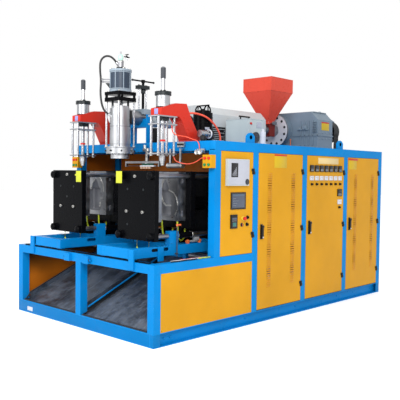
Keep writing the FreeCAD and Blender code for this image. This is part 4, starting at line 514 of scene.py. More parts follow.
class Shape:
    """A mesh under construction, drawn in the machine's own millimetres."""

    def __init__(self):
        self.bm = bmesh.new()

    def block(self, x, y, z, soft=1.0):
        """A box with rounded edges between the limits of each axis."""
        middle = at(*[(a + b) / 2 for a, b in (x, y, z)])
        size = [abs(b - a) / 1000 for a, b in (x, y, z)]
        matrix = Matrix.Translation(middle) @ Matrix.Diagonal((*size, 1))
        made = bmesh.ops.create_cube(self.bm, size=1, matrix=matrix)
        edges = {edge for vert in made["verts"] for edge in vert.link_edges}
        soft = min(soft / 1000, min(size) * 0.4)
        bmesh.ops.bevel(self.bm, geom=list(edges), offset=soft, segments=2, profile=0.6, affect="EDGES")
        return self

    def lathe(self, axis, centre, profile, steps=24):
        """A turned form: profile is (radius, place along the axis), from one end to the other."""
        rings = []
        for radius, along in profile:
            if radius == 0:
                rings.append([self.bm.verts.new(self.point(axis, centre, 0, 0, along))])
                continue
            ring = []
            for i in range(steps):
                angle = 2 * math.pi * i / steps
                a, b = radius * math.cos(angle), radius * math.sin(angle)
                ring.append(self.bm.verts.new(self.point(axis, centre, a, b, along)))
            rings.append(ring)
        for first, second in zip(rings, rings[1:]):
            for i in range(steps):
                k = (i + 1) % steps
                loop = []
                for vert in (first[i % len(first)], first[k % len(first)], second[k % len(second)],
                             second[i % len(second)]):
                    if vert not in loop:
                        loop.append(vert)
                if len(loop) > 2:
                    self.bm.faces.new(loop)
        for ring in (rings[0], rings[-1]):
            if len(ring) > 1:
                self.bm.faces.new(ring)
        return self

    def lathes(self, axis, centres, profile, steps=24):
        """The same turned form about several centres."""
        for centre in centres:
            self.lathe(axis, centre, profile, steps)
        return self

    @staticmethod
    def point(axis, centre, a, b, along):
        if axis == "x":
            return at(along, centre[0] + a, centre[1] + b)
        if axis == "y":
            return at(centre[0] + a, along, centre[1] + b)
        return at(centre[0] + a, centre[1] + b, along)

    def sweep(self, path, radius, steps=12):
        """A rigid bent rod through the given places."""
        places = [at(*p) for p in path]
        rings = []
        for i, place in enumerate(places):
            ahead = places[min(i + 1, len(places) - 1)] - places[max(i - 1, 0)]
            turn = ahead.to_track_quat("Z", "Y")
            ring = []
            for k in range(steps):
                angle = 2 * math.pi * k / steps
                offset = Vector((radius * math.cos(angle), radius * math.sin(angle), 0)) / 1000
                ring.append(self.bm.verts.new(place + turn @ offset))
            rings.append(ring)
        for first, second in zip(rings, rings[1:]):
            for i in range(steps):
                k = (i + 1) % steps
                self.bm.faces.new((first[i], first[k], second[k], second[i]))
        self.bm.faces.new(rings[0])
        self.bm.faces.new(rings[-1])
        return self

    def prism(self, front, back, soft=0.0):
        """A solid between two outlines of the machine's places, matched corner to corner."""
        front, back = [[self.bm.verts.new(at(*place)) for place in outline] for outline in (front, back)]
        faces = [self.bm.faces.new(front), self.bm.faces.new(back)]
        for i in range(len(front)):
            k = (i + 1) % len(front)
            faces.append(self.bm.faces.new((front[i], front[k], back[k], back[i])))
        if soft:
            edges = {edge for face in faces for edge in face.edges}
            bmesh.ops.bevel(self.bm, geom=list(edges), offset=soft / 1000, segments=2, affect="EDGES")
        return self

    def profile(self, outline, y, soft=0.0):
        """A solid whose outline is given in X and Z, between two Y limits."""
        return self.prism(*[[(px, limit, pz) for px, pz in outline] for limit in y], soft)

    def hex_bolts(self, axis, centres, face, out, radius=9.0):
        """Hexagon heads on washers, standing out from a face; out is +1 or -1 along the axis."""
        washer = [(radius * 1.25, face), (radius * 1.3, face + out * 1.0), (radius * 1.2, face + out * 2)]
        head = [(radius, face + out * 2), (radius, face + out * radius * 0.9),
                (radius * 0.8, face + out * radius * 1.05)]
        for centre in centres:
            self.lathe(axis, centre, washer, 24)
            self.lathe(axis, centre, head, 6)
        return self

    def socket_screws(self, axis, centres, face, out, radius=9.0):
        """Cap screws with their hexagon sockets."""
        cap = [(radius, face), (radius, face + out * radius * 0.8), (radius * 0.88, face + out * radius),
               (radius * 0.55, face + out * radius)]
        socket = [(radius * 0.55, face + out * radius), (radius * 0.55, face + out * radius * 0.4),
                  (0, face + out * radius * 0.4)]
        for centre in centres:
            self.lathe(axis, centre, cap, 24)
            self.lathe(axis, centre, socket, 6)
        return self

    def done(self, name, finish, body="machine"):
        bmesh.ops.recalc_face_normals(self.bm, faces=self.bm.faces)
        for face in self.bm.faces:
            face.smooth = True
        for edge in self.bm.edges:
            edge.smooth = edge.calc_face_angle(0.0) < SHARP_ANGLE
        data = bpy.data.meshes.new(name)
        self.bm.to_mesh(data)
        self.bm.free()
        data.materials.append(MATERIALS[finish])
        made = bpy.data.objects.new(name, data)
        bpy.context.scene.collection.objects.link(made)
        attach(made, body)


def slab(name, finish, body, x, y, z, soft):
    Shape().block(x, y, z, soft).done(name, finish, body)


def slabs(body, rows):
    for name, finish, x, y, z, soft in rows:
        slab(name, finish, body, x, y, z, soft)


def turned(name, finish, axis, centre, profile, steps=24, body="machine"):
    Shape().lathe(axis, centre, profile, steps).done(name, finish, body)


def arc(centre, radius, start, end, steps=10):
    """Places round a circle, as pairs, from one angle to another in degrees."""
    points = []
    for i in range(steps + 1):
        angle = math.radians(start + (end - start) * i / steps)
        points.append((centre[0] + radius * math.cos(angle), centre[1] + radius * math.sin(angle)))
    return points


def on_circle(centre, radius, count, shift=0.0):
    """Evenly spaced places on a whole circle, as pairs; shift is the first one's share of a step."""
    angles = [2 * math.pi * (i + shift) / count for i in range(count)]
    return [(centre[0] + radius * math.cos(a), centre[1] + radius * math.sin(a)) for a in angles]


def corners(centre, a, b):
    return [(centre[0] + sa * a, centre[1] + sb * b) for sa in (-1, 1) for sb in (-1, 1)]


# ---- doors ---------------------------------------------------------------------------------
DOOR_X = {"door_1": (1394.0, 2150.0), "door_2": (2242.0, 2998.0), "door_3": (3090.0, 3828.0)}
LOUVRE_Z = (350.0, 1500.0)
LOUVRE_PITCH = 22.5
LOUVRE_WIDTH = 67.0
LOUVRE_INSETS = (149.0, 556.0)
HOOD_OUT = 5.0
HOOD_TOP = 11.5
HOOD_LOW = 1.6
HOOD_STEPS = 6
HANDLE_INSET = 52.0
HANDLE_Z = 861.0
HINGE_STEP = 3.0
HINGE_HALF = 28.0
HINGE_Z = (313.0, 920.0, 1525.0)
CONTROL_HINGE_Z = (896.0, 1520.0)
CONTROL_DOOR_RIGHT = 1302.0


def louvre_hood(shape, x, z):
    """A pressed hood over one vent slot, open at its lower edge."""
    rows = []
    for i in range(HOOD_STEPS):
        angle = math.pi / 2 * i / (HOOD_STEPS - 1)
        rows.append((-HOOD_OUT * math.sin(angle), z + HOOD_LOW + (HOOD_TOP - HOOD_LOW) * math.cos(angle)))
    grid = []
    for end, depth in ((x[0] - 2, 0.0), (x[0] + 4, 1.0), (x[1] - 4, 1.0), (x[1] + 2, 0.0)):
        grid.append([shape.bm.verts.new(at(end, -0.15 + y * depth, height)) for y, height in rows])
    for first, second in zip(grid, grid[1:]):
        for i in range(HOOD_STEPS - 1):
            shape.bm.faces.new((first[i], second[i], second[i + 1], first[i + 1]))


def make_louvres():
    count = int((LOUVRE_Z[1] - LOUVRE_Z[0]) / LOUVRE_PITCH) + 1
    for door in ("door_1", "door_3"):
        hoods, lips = Shape(), Shape()
        for inset in LOUVRE_INSETS:
            left = DOOR_X[door][0] + inset
            for i in range(count):
                z = LOUVRE_Z[0] + i * LOUVRE_PITCH
                louvre_hood(hoods, (left, left + LOUVRE_WIDTH), z)
                # Under each hood a thin strip of darker orange-red, a painted shade line standing in for the
                # slot's shade.
                lips.block((left + 3, left + LOUVRE_WIDTH - 3), (-HOOD_OUT - 0.6, -HOOD_OUT + 0.4),
                           (z + HOOD_LOW - 0.6, z + HOOD_LOW + 4.4), 0.4)
        hoods.done(door + "_louvres", "yellow", door)
        lips.done(door + "_louvre_shade_strips", "louvre_painted_shade", door)


def make_door_details():
    """Plain colour fields as thin plates, the handles' keys and screws, and the panels' screws."""
    slab("field_strip_1", "field_red", "door_1", (1648, 1861), (-0.8, 0), (1684, 1701), 0.3)
    slab("field_1", "field_yellow", "door_1", (1648, 1861), (-0.7, 0), (1562, 1683), 0.3)
    slab("field_strip_3", "field_red", "door_3", (3095, 3318), (-0.8, 0), (1674, 1697), 0.3)
    slab("field_3", "field_yellow", "door_3", (3110, 3290), (-0.7, 0), (1566, 1673), 0.3)
    key = [(9.5, -26.0), (9.5, -28.5), (8.2, -29.5), (3.0, -29.5), (3.0, -28.0), (0, -28.0)]
    for i, (door, span) in enumerate(DOOR_X.items()):
        x = span[0] + HANDLE_INSET
        turned("handle_key_%d" % (i + 1), "chrome", "y", (x, HANDLE_Z), key, body="handle_%d" % (i + 1))
        screws = Shape().socket_screws("y", [(x + 11, z) for z in (849.0, 984.0)], -6.0, -1, 3.2)
        screws.done("handle_screws_%d" % (i + 1), "zinc", door)
    places = [(x - shift, z) for x in (855.0, 1290.0) for z in (140.0, 615.0) for shift in (760, 0)]
    Shape().hex_bolts("y", places, 1.0, -1, 4.0).done("panel_screws", "yellow")
    places = ((845, 732), (1288, 732), (845, 1692), (1288, 1692))
    Shape().hex_bolts("y", places, 0.0, -1, 4.0).done("control_door_screws", "yellow", "control_door")


def make_hinge_leaves():
    """The second leaf of each hinge half, so that a hinge is one black block as long as its pin."""
    fixed = Shape()
    doors = {name: (x[1], HINGE_Z) for name, x in DOOR_X.items()}
    doors["control_door"] = (CONTROL_DOOR_RIGHT, CONTROL_HINGE_Z)
    for door, (edge, heights) in doors.items():
        leaves = Shape()
        middle = edge + HINGE_STEP
        for z in heights:
            fixed.block((middle + 5, middle + 18), (-6.5, 0), (z + 1, z + HINGE_HALF), 1.5)
            leaves.block((middle - 18, middle - 5), (-6.5, 0), (z - HINGE_HALF, z - 1), 1.5)
        leaves.done(door + "_hinge_leaves", "black_plastic", door)
    fixed.done("hinge_leaves", "black_plastic")


# ---- instruments -----------------------------------------------------------------------------
BOX_PLATES = (
    ("box_lid", "window_grey", (902, 1199), (-33, -29.5), (1391, 1624), 2.0),
    ("box_window_frame", "black_plastic", (938, 1036), (-34.5, -33), (1462, 1596), 1.2),
    ("box_window", "dark_glass", (946, 1028), (-35.2, -34.5), (1470, 1588), 0.4),
)
SCREEN_PLATES = (
    ("screen_bezel", "knob_grey", (980, 1180), (-8.6, -8), (1164, 1308), 0.5),
    ("screen_face", "screen_glass", (988, 1166), (-9.4, -8.6), (1172, 1300), 0.6),
    ("screen_bar", "display_blue", (991, 1163), (-9.8, -9.4), (1284, 1297), 0.2),
)
TIMER_PLATES = (
    ("timer_face", "black_plastic", (972, 1059), (-14, -12), (976, 1100), 1.5),
    ("timer_window", "screen_glass", (983, 1048), (-14.8, -14), (1056, 1076), 0.5),
    ("timer_dial_frame", "knob_grey", (985, 1046), (-15.4, -14), (986, 1034), 1.0),
    ("timer_dial", "display_green", (992, 1039), (-15.9, -15.4), (992, 1028), 0.4),
)
BUTTON_OUT = (-17.5, -16.0)


def make_control_details():
    """The box, screen and timer of the control door, and its buttons' collars, caps and pointers."""
    body = "control_door"
    strokes, lines, keys = Shape(), Shape(), Shape()
    slabs(body, BOX_PLATES)
    for i in range(5):
        strokes.block((957 + 12 * i, 962 + 12 * i), (-35.6, -35.2), (1482, 1500 + 14 * i), 0.3)
    strokes.block((954, 1020), (-35.6, -35.2), (1475, 1478), 0.2)
    strokes.done("box_window_marks", "window_grey", body)
    ring = [(29.0, -33.0), (29.0, -35.0), (26.0, -36.2), (21.0, -36.2), (20.0, -34.6), (17.0, -34.6),
            (17.0, -33.5)]
    turned("box_knob_ring", "knob_grey", "y", (1175.0, 1418.0), ring, 40, body)
    slabs(body, SCREEN_PLATES)
    for i in range(4):
        lines.block((996, 1040 + 18 * (i % 3)), (-9.7, -9.4), (1190 + 22 * i, 1192 + 22 * i), 0.2)
        keys.block((985 + 16 * i, 996 + 16 * i), (-15.0, -14), (1042, 1048), 0.8)
    lines.done("screen_lines", "grey_plastic", body)
    slabs(body, TIMER_PLATES)
    keys.done("timer_keys", "grey_plastic", body)
    collar = [(18.5, 0), (18.5, -3.5), (16.5, -5.0), (12.5, -5.0)]
    for i, (x, z) in enumerate(((1223.0, 1071.0), (1216.0, 1002.0))):
        turned("selector_collar_%d" % (i + 1), "black_plastic", "y", (x, z), collar, 32, body)
        slab("selector_pointer_%d" % (i + 1), "black_plastic", body, (x - 3.2, x + 3.2), (-24, -16),
             (z - 11.5, z + 11.5), 1.2)
    x, z = 1138.0, 1002.0
    collar = [(19.0, 0), (19.0, -3.5), (17.0, -5.0), (12.5, -5.0)]
    turned("button_collar", "knob_grey", "y", (x, z), collar, 32, body)
    half = [(x, z - 11)] + arc((x, z), 11.0, -90, 90)
    Shape().profile(half, BUTTON_OUT).done("button_green_half", "green_plastic", body)
    half = [(x - 0.4, z + 11)] + arc((x - 0.4, z), 11.0, 90, 270)
    Shape().profile(half, BUTTON_OUT).done("button_red_half", "red_plastic", body)


INSTRUMENT_PITCH = 97
INSTRUMENT_COUNT = 7


def row_and_last(first, rest, last):
    """The seven equal instruments of a row, and the single one below the others."""
    return [(first + INSTRUMENT_PITCH * i, *rest) for i in range(INSTRUMENT_COUNT)] + [last]


def make_instrument_rows():
    """Windows, keys and dials of the instruments on the second door."""
    body = "door_2"
    windows, keys, dials, needles, pointers = [Shape() for _ in range(5)]
    for x, z, width, height in row_and_last(2290.0, (1530.0, 72.0, 72.0), (2861.0, 1252.0, 92.0, 81.0)):
        windows.block((x + 9, x + width - 9), (-12.9, -12), (z + height * 0.5, z + height - 8), 0.5)
        for k in range(4):
            left = x + 10 + k * (width - 20) / 4
            keys.block((left, left + (width - 20) / 4 - 4), (-13.2, -12), (z + 9, z + 19), 0.8)
        keys.block((x + 10, x + width - 10), (-12.5, -12), (z + 25, z + 30), 0.3)
    for x, z, width, height in row_and_last(2292.0, (1435.0, 68.0, 48.0), (2869.0, 1157.0, 80.0, 55.0)):
        dials.block((x + 4, x + width - 4), (-10.9, -10), (z + 4, z + height - 4), 0.8)
        needles.block((x + 10, x + width - 10), (-11.3, -10.9), (z + height * 0.62, z + height * 0.66), 0.2)
        needles.block((x + width / 2 - 0.8, x + width / 2 + 0.8), (-11.3, -10.9),
                      (z + 9, z + height * 0.6), 0.2)
    for x, z in row_and_last(2326.0, (1392.0,), (2905.0, 1121.0)):
        pointers.block((x - 2.6, x + 2.6), (-27, -21), (z - 10, z + 10), 1.0)
    windows.done("controller_windows", "dark_glass", body)
    keys.done("controller_keys", "grey_plastic", body)
    dials.done("meter_faces", "white_enamel", body)
    needles.done("meter_marks", "knob_grey", body)
    pointers.done("switch_pointers", "black_plastic", body)
    slab("title_plate_face", "cream", body, (2458, 2867), (-2.8, -2), (1625, 1682), 0.4)


# ---- mould stations --------------------------------------------------------------------------
PLATEN_X = 250.0
TIE_Y = 220.0
TIE_Z = (910.0, 1465.0)
PLATEN_BOLTS = {
    "near": ((543, 1460), (660, 1133), (433, 1132)),
    "far": ((1622, 1468), (1738, 1139), (1514, 1139)),
}
PLATEN_HOLES = {
    "near": ((655, 1340), (432, 1338), (655, 1010)),
    "far": ((1750, 1347), (1518, 1345), (1636, 1240)),
}
PLATEN_PLATES = {"near": (674, 760), "far": (1317, 1401)}
PLATEN_LOOPS = {"near": (571.0, 404.0), "far": (1742.0, 1469.0)}
PLATEN_PLATE_Z = (1394.0, 1506.0)
PLATEN_PLATE_X = (196.0, 198.0)
LOOP_X = 300.0
LOOP_LINE = ((1.0, 873), (1.0, 800), (0.78, 759), (0.0, 746), (-0.78, 759), (-1.0, 800), (-1.0, 873))
CLIP_Z = ((1080, 1140), (1400, 1460))
CAVITY_X = 616.0
# Lines on the rear moulds' parting face where zinc rods paint the highlights of the cavity's edges.
CAVITY_HIGHLIGHT_LINES = {
    "near": (((536, 1439), (574, 1391), (582, 1327), (577, 1264), (555, 1213), (517, 1181), (433, 1184)),
             ((473, 1330), (405, 1306), (368, 1261), (352, 1200), (358, 1138), (387, 1096))),
    "far": (((1637, 1477), (1550, 1442), (1498, 1373), (1482, 1293), (1491, 1223), (1529, 1210)),
            ((1713, 1310), (1684, 1382), (1636, 1418)), ((1547, 1174), (1557, 1127))),
}
CARRIAGE_Z = (734, 823)


def make_platen_details(side, middle):
    body = side + "_front_clamp"
    face = PLATEN_X - 35
    dome = [(35.0, face + 4), (35.5, face + 1), (33.0, face - 4), (24.0, face - 9), (10.0, face - 11.5),
            (0, face - 12)]
    ties = [(y, z) for y in (middle - TIE_Y, middle + TIE_Y) for z in TIE_Z]
    Shape().lathes("x", ties, dome, 32).done(side + "_tie_caps", "black", body)
    bolts = PLATEN_BOLTS[side]
    Shape().socket_screws("x", bolts, PLATEN_X, -1, 15.0).done(side + "_platen_bolts", "zinc", body)
    plug = [(11.0, PLATEN_X), (11.0, PLATEN_X - 1.0), (8.0, PLATEN_X - 1.2), (7.0, PLATEN_X - 0.3),
            (0, PLATEN_X - 0.3)]
    Shape().lathes("x", PLATEN_HOLES[side], plug, 20).done(side + "_platen_plugs", "dark_cast", body)
    # A dark disc at the bottom of each screw's socket: painted shade in the recess.
    socket = [(7.5, PLATEN_X - 7), (7.5, PLATEN_X - 8), (0, PLATEN_X - 8)]
    Shape().lathes("x", bolts, socket, 6).done(side + "_platen_socket_shade", "dark_cast", body)
    plate = Shape().block(PLATEN_PLATE_X, PLATEN_PLATES[side], PLATEN_PLATE_Z, 0.5)
    nut = (middle + TIE_Y * OUTWARD[side], TIE_Z[1])
    plate.lathe("x", nut, [(9.0, PLATEN_PLATE_X[1] + 8), (9.0, PLATEN_PLATE_X[1] - 1)], 16)
    plate.done(side + "_platen_plate", "plate_lime", body)
    first, last = PLATEN_LOOPS[side]
    path = [(LOOP_X, (first + last) / 2 + share * (first - last) / 2, z) for share, z in LOOP_LINE]
    Shape().sweep(path, 7.0, 12).done(side + "_platen_hose", "hose_green", body)


def make_mould_details(side, middle):
    """Clamp strips, bright zinc rods along the cavity's outline as painted highlights of its edges, and the
    hose unions of the mould halves.
    """
    front, rear, lines = Shape(), Shape(), Shape()
    for y in (-196, 191):
        for z in CLIP_Z:
            front.block((302, 340), (middle + y, middle + y + 6), z, 1.5)
            rear.block((660, 698), (middle + y, middle + y + 6), z, 1.5)
    front.done(side + "_front_mould_clips", "steel", side + "_front_clamp")
    rear.done(side + "_rear_mould_clips", "steel", side + "_rear_clamp")
    for points in CAVITY_HIGHLIGHT_LINES[side]:
        lines.sweep([(CAVITY_X, y, z) for y, z in points], 8.0, 12)
    lines.done(side + "_cavity_painted_highlights", "zinc", side + "_rear_clamp")
    places = [(627, middle + y * OUTWARD[side]) for y in (-168, 45)]
    Shape().hex_bolts("z", places, 1040, -1, 10.0).done(side + "_hose_unions", "brass", side + "_rear_clamp")


def make_carriage_details(side, middle):
    body = side + "_carriage"
    out = OUTWARD[side]
    outer = middle - 250 * out
    # A thin black oval on the carriage's outer side: painted shade where its slot opens.
    slot = arc((290, 795), 14, -90, 90) + arc((240, 795), 14, 90, 270)
    Shape().profile(slot, (outer, outer - 0.8 * out)).done(side + "_slot_painted_shade", "black", body)
    plate = Shape().block((300, 366), sorted((outer - 12 * out, outer)), (690, 824), 1.5)
    inner = middle + TIE_Y * out
    for x in ((-2, 1), (1239, 1242)):
        plate.block(x, (inner - 30, inner + 30), CARRIAGE_Z, 0.8)
    plate.done(side + "_side_plate", "blue", body)
    rings = Shape()
    for y in (middle - TIE_Y, middle + TIE_Y):
        rings.lathe("x", (y, TIE_Z[0]), [(31.5, 752), (33.0, 754), (33.0, 768), (31.5, 770)], 32)
        rings.lathe("x", (y, TIE_Z[0]), [(31.0, 560), (34.0, 561), (34.0, 574), (31.0, 575)], 32)
    rings.done(side + "_bearing_rings", "zinc", body)
    bolts = Shape()
    for x in (475, 535):
        for sign in (-1, 1):
            bolts.hex_bolts("y", [(x, 850)], middle + sign * TIE_Y - 30 * out, -out, 8.0)
    bolts.done(side + "_bearing_bolts", "blue", body)


FITTING_LINE = (316.0, 842.0)
STAND = (528.0, 268.0)


def make_air_fittings():
    """Elbows and a pipe on the near carriage's side beam, and the standpipe in front of it."""
    body = "near_carriage"
    pipe = Shape().lathe("x", FITTING_LINE, [(7.5, 722), (7.5, 872)], 16)
    pipe.block((760, 835), (302, 330), (835, 850), 1.5).done("fitting_pipe", "grey_plastic", body)
    elbows = Shape()
    bend = [(16.0, 823), (16.0, 830), (13.0, 832), (13.0, 848), (15.0, 852), (9.0, 859)]
    for x in (716.0, 876.0):
        elbows.lathe("z", (x, FITTING_LINE[0]), bend, 20)
        elbows.lathe("x", FITTING_LINE, [(14.0, x - 19), (15.0, x - 17), (15.0, x + 17), (14.0, x + 19)], 6)
    elbows.done("fitting_elbows", "orange_plastic", body)
    slab("fitting_block", "grey_plastic", body, (800, 858), (296, 336), (849, 882), 3.0)
    stand = Shape().lathe("z", STAND, [(5.0, 716), (5.0, 1000), (4.0, 1002)], 14)
    stand.block((514, 542), (262, 284), (742, 752), 1.5).done("standpipe", "knob_grey", body)
    top = Shape().lathe("z", STAND, [(9.0, 1000), (11.0, 1002), (11.0, 1018), (8.0, 1024)], 6)
    top.lathe("x", (STAND[1], 1012.0), [(6.0, 520), (6.0, 556), (8.0, 558), (8.0, 572)], 14)
    top.done("standpipe_elbow", "orange_plastic", body)


# ---- head, blow units, knife ------------------------------------------------------------------
VENT_PIPE = (585.0, MID_Y)


def make_head_details():
    seam = Shape().lathe("z", HEAD, [(103.0, 1954), (104.5, 1954.5), (104.5, 1958), (103.0, 1958.5)], 64)
    seam.lathe("z", HEAD, [(103.0, 1777), (104.4, 1777.5), (104.4, 1779.5), (103.0, 1780)], 64)
    seam.done("head_seams", "knob_grey")
    Shape().hex_bolts("z", on_circle(HEAD, 126, 12, 0.5), 1682, -1, 7.0).done("die_bolts", "dark_cast")
    plugs = Shape()
    for inner, outer in zip(on_circle(HEAD, 139.0, 8, 0.25), on_circle(HEAD, 153, 8, 0.25)):
        plugs.sweep([(*inner, 1712), (*outer, 1712)], 8.5, 16)
    plugs.done("die_centring_screws", "dark_cast")
    nuts = Shape()
    for rod in corners(HEAD, 98, 98):
        nuts.hex_bolts("z", [rod], 2204, -1, 13.0)
        nuts.hex_bolts("z", [rod], 2301, 1, 9.0)
        nuts.lathe("z", rod, [(14.0, 1751), (14.0, 1764), (11.5, 1766)], 6)
    nuts.done("head_rod_nuts", "zinc")
    places = [(MID_Y + 42, z) for z in (2095.0, 1985.0, 1930.0)]
    Shape().socket_screws("x", places, HEAD[0] - 95, -1, 6.0).done("head_side_screws", "dark_cast")
    rods = Shape().lathes("z", corners(HEAD, 55, 55), [(11.0, 2138), (11.0, 2204)], 20)
    rods.done("head_lift_rods", "dark_cast")


def make_head_cylinder_details():
    nuts = Shape().lathes("z", on_circle(HEAD, 99, 8, 0.5), [(10.0, 2525), (10.0, 2536), (8.0, 2538)], 6)
    nuts.done("head_cylinder_nuts", "zinc")
    ties = Shape().lathes("z", on_circle(HEAD, 107, 8, 0.5), [(4.5, 2322), (4.5, 2504)], 12)
    ties.done("head_cylinder_ties", "gear_light")
    bands = Shape()
    for z in (2330.0, 2496.0):
        bands.lathe("z", HEAD, [(104, z - 5), (108, z - 4), (108, z + 4), (104, z + 5)], 64)
    bands.done("head_cylinder_bands", "gear_light")
    pipe = [(7.0, 2525), (7.0, 2640), (11.0, 2642), (11.0, 2654), (6.0, 2656)]
    turned("vent_pipe", "chrome", "z", VENT_PIPE, pipe, 16)
    tap = Shape().lathe("z", VENT_PIPE, [(9.0, 2654), (9.0, 2674), (5.0, 2676), (5.0, 2690)], 6)
    tap.lathe("x", (MID_Y, 2664.0), [(6.0, 552), (6.0, 618)], 12)
    tap.block((578, 592), (MID_Y - 24, MID_Y + 24), (2686, 2692), 1.5).done("vent_tap", "black")
    glass_line = [(12.0, 2618), (22.0, 2622), (26.0, 2636), (26.0, 2662), (18.0, 2676), (9.0, 2682)]
    turned("oil_glass", "gauge_glass", "z", HEAD, glass_line, 40)
    collar = [(34.0, 2596), (34.0, 2612), (26.0, 2618), (22.0, 2620)]
    turned("oil_glass_collar", "zinc", "z", HEAD, collar, 6)


def make_blow_details(side, y):
    middle = (AXIS_X, y)
    pin = side + "_blow_pin"
    nut = [(6.0, 2256), (8.0, 2256.5), (8.0, 2262), (6.0, 2264)]
    Shape().lathes("z", corners(middle, 47, 47), nut, 6).done(side + "_blow_cap_nuts", "zinc")
    rims, grip, nuts = Shape(), Shape(), Shape()
    for z in (2226.0, 2250.0):
        rims.lathe("z", middle, [(78, z - 2), (79.5, z - 1), (79.5, z + 1), (78, z + 2)], 48)
    rims.done(side + "_blow_cap_rims", "dark_cast")
    for i in range(5):
        z = 2390.0 + 18 * i
        grip.lathe("z", middle, [(24.0, z), (25.2, z + 2), (25.2, z + 8), (24.0, z + 10)], 32)
    grip.done(side + "_adjuster_rings", "knob_grey", pin)
    cap = [(19.0, 2480), (17.0, 2486), (11.0, 2491), (0, 2493)]
    turned(side + "_adjuster_cap", "chrome", "z", middle, cap, body=pin)
    for rod in corners(middle, 100, 50):
        for low, high in ((1655, 1668), (1680, 1688), (1936, 1944)):
            nuts.lathe("z", rod, [(15.0, low), (15.0, high)], 6)
    nuts.done(side + "_cage_nuts", "zinc")
    slab(side + "_cage_block", "dark_cast", "machine", (AXIS_X - 45, AXIS_X + 45), (y - 40, y + 40),
         (1985, 2018), 3.0)
    slab(side + "_sensor", "black_plastic", "machine", (AXIS_X + 88, AXIS_X + 128), (y - 40, y - 28),
         (1995, 2012), 2.0)
    # A thin violet patch on the arm's front face: a painted reflection of bluish light.
    slab(side + "_arm_painted_reflection", "violet_painted_reflection", "machine", (416.6, 418), (y - 27, y + 24), (2040, 2092), 0.4)
    stop = [(24.0, 1790), (27.0, 1792), (27.0, 1806), (24.0, 1808)]
    turned(side + "_stem_stop", "red_plastic", "z", middle, stop, body=pin)


KNIFE_CYLINDER = (700.0, 1567.0)


def make_knife_details():
    """The insulators and terminals under the knife's bar, and the plate that carries its pivot."""
    body = "cutter_arm"
    blocks, caps = Shape(), Shape()
    for i in range(4):
        blocks.block((666, 688), (806 + 40 * i, 838 + 40 * i), (1534, 1557), 4.0)
    blocks.done("knife_insulators", "ceramic", body)
    plate = Shape().block((662, 690), (748, 958), (1557, 1569), 1.5)
    plate.block((674, 690), (872, 894), (1567, 1594), 1.0).done("knife_plate", "white_plastic", body)
    for i in range(7):
        caps.block((662, 684), (768 + 24 * i, 786 + 24 * i), (1569, 1588), 2.0)
    caps.done("knife_terminals", "dark_green", body)
    hanger = Shape().block((683, 688), (868, 899), (1613, 1738), 1.0)
    hanger.lathes("x", [(883.0, 1662.0), (883.0, 1672.0)], [(6, 683), (6, 679), (4, 677), (0, 677)], 6)
    hanger.done("knife_hanger_plate", "zinc")
    rod = Shape().lathe("y", KNIFE_CYLINDER, [(26.5, 372), (26.5, 392), (24.8, 394)], 32)
    rod.lathe("y", KNIFE_CYLINDER, [(26.5, 564), (26.5, 583), (10.0, 584), (7.0, 600)], 32)
    rod.done("knife_cylinder_caps", "zinc")


def make_jack_details():
    nuts = Shape()
    for x in (749.0, 849.0):
        nuts.hex_bolts("z", [(x, MID_Y)], 2398, 1, 11.0)
        nuts.lathe("z", (x, MID_Y), [(13.0, 2352), (13.0, 2362)], 6)
    nuts.done("jack_nuts", "zinc")
    sleeve = [(20.0, 2318), (22.0, 2322), (22.0, 2356), (18.0, 2362)]
    turned("jack_sleeve", "dark_cast", "z", (806.0, MID_Y), sleeve)
    knobs = Shape()
    for x in (661.0, 951.0):
        knob = [(8.0, x - 8), (11.0, x - 5), (11.5, x), (11.0, x + 5), (8.0, x + 8)]
        knobs.lathe("x", (MID_Y, 2445.0), knob, 20)
    knobs.done("jack_handle_knobs", "black_plastic", "jack_screw")


def head_place(out, aside, z):
    """A point about the head's axis: out toward the hose's side, aside across it."""
    return (HEAD[0] - 0.69 * out - 0.72 * aside, HEAD[1] + 0.72 * out - 0.69 * aside, z)


def make_boxes_by_the_head():
    """The heater's terminal box on the deck, the dark strip on the head and the hose's bracket."""
    box = Shape().block((862, 938), (955, 1000), (1801, 1962), 4.0)
    box.block((866, 934), (951, 955), (1806, 1957), 1.5).done("heater_terminal_box", "black_plastic")
    slab("head_terminal_strip", "black_plastic", "machine", (548, 578), (984, 1006), (1985, 2118), 3.0)
    pipes = Shape()
    for z, reach in ((2428.0, 186.0), (2404.0, 180.0)):
        pipes.sweep([head_place(104, 0, z), head_place(reach, 0, z)], 6.0)
        pipes.sweep([head_place(reach - 12, 0, z), head_place(reach + 8, 0, z)], 10.0, 6)
    pipes.done("head_pipes", "steel")
    corner = ((103, 2330), (103, 2392), (152, 2392))
    sides = [[head_place(out, aside, z) for out, z in corner] for aside in (-5.0, 5.0)]
    Shape().prism(*sides).done("head_pipe_bracket", "dark_cast")


# ---- deck ------------------------------------------------------------------------------------
TANK = (1165.0, 560.0)
VALVE_LINE = (300.0, 1880.0)
LOADER_FAN = (1925.0, 1902.0)
VENT_X = (1676.0, 1898.0)
VENT_Z = (1812.0, 2026.0)


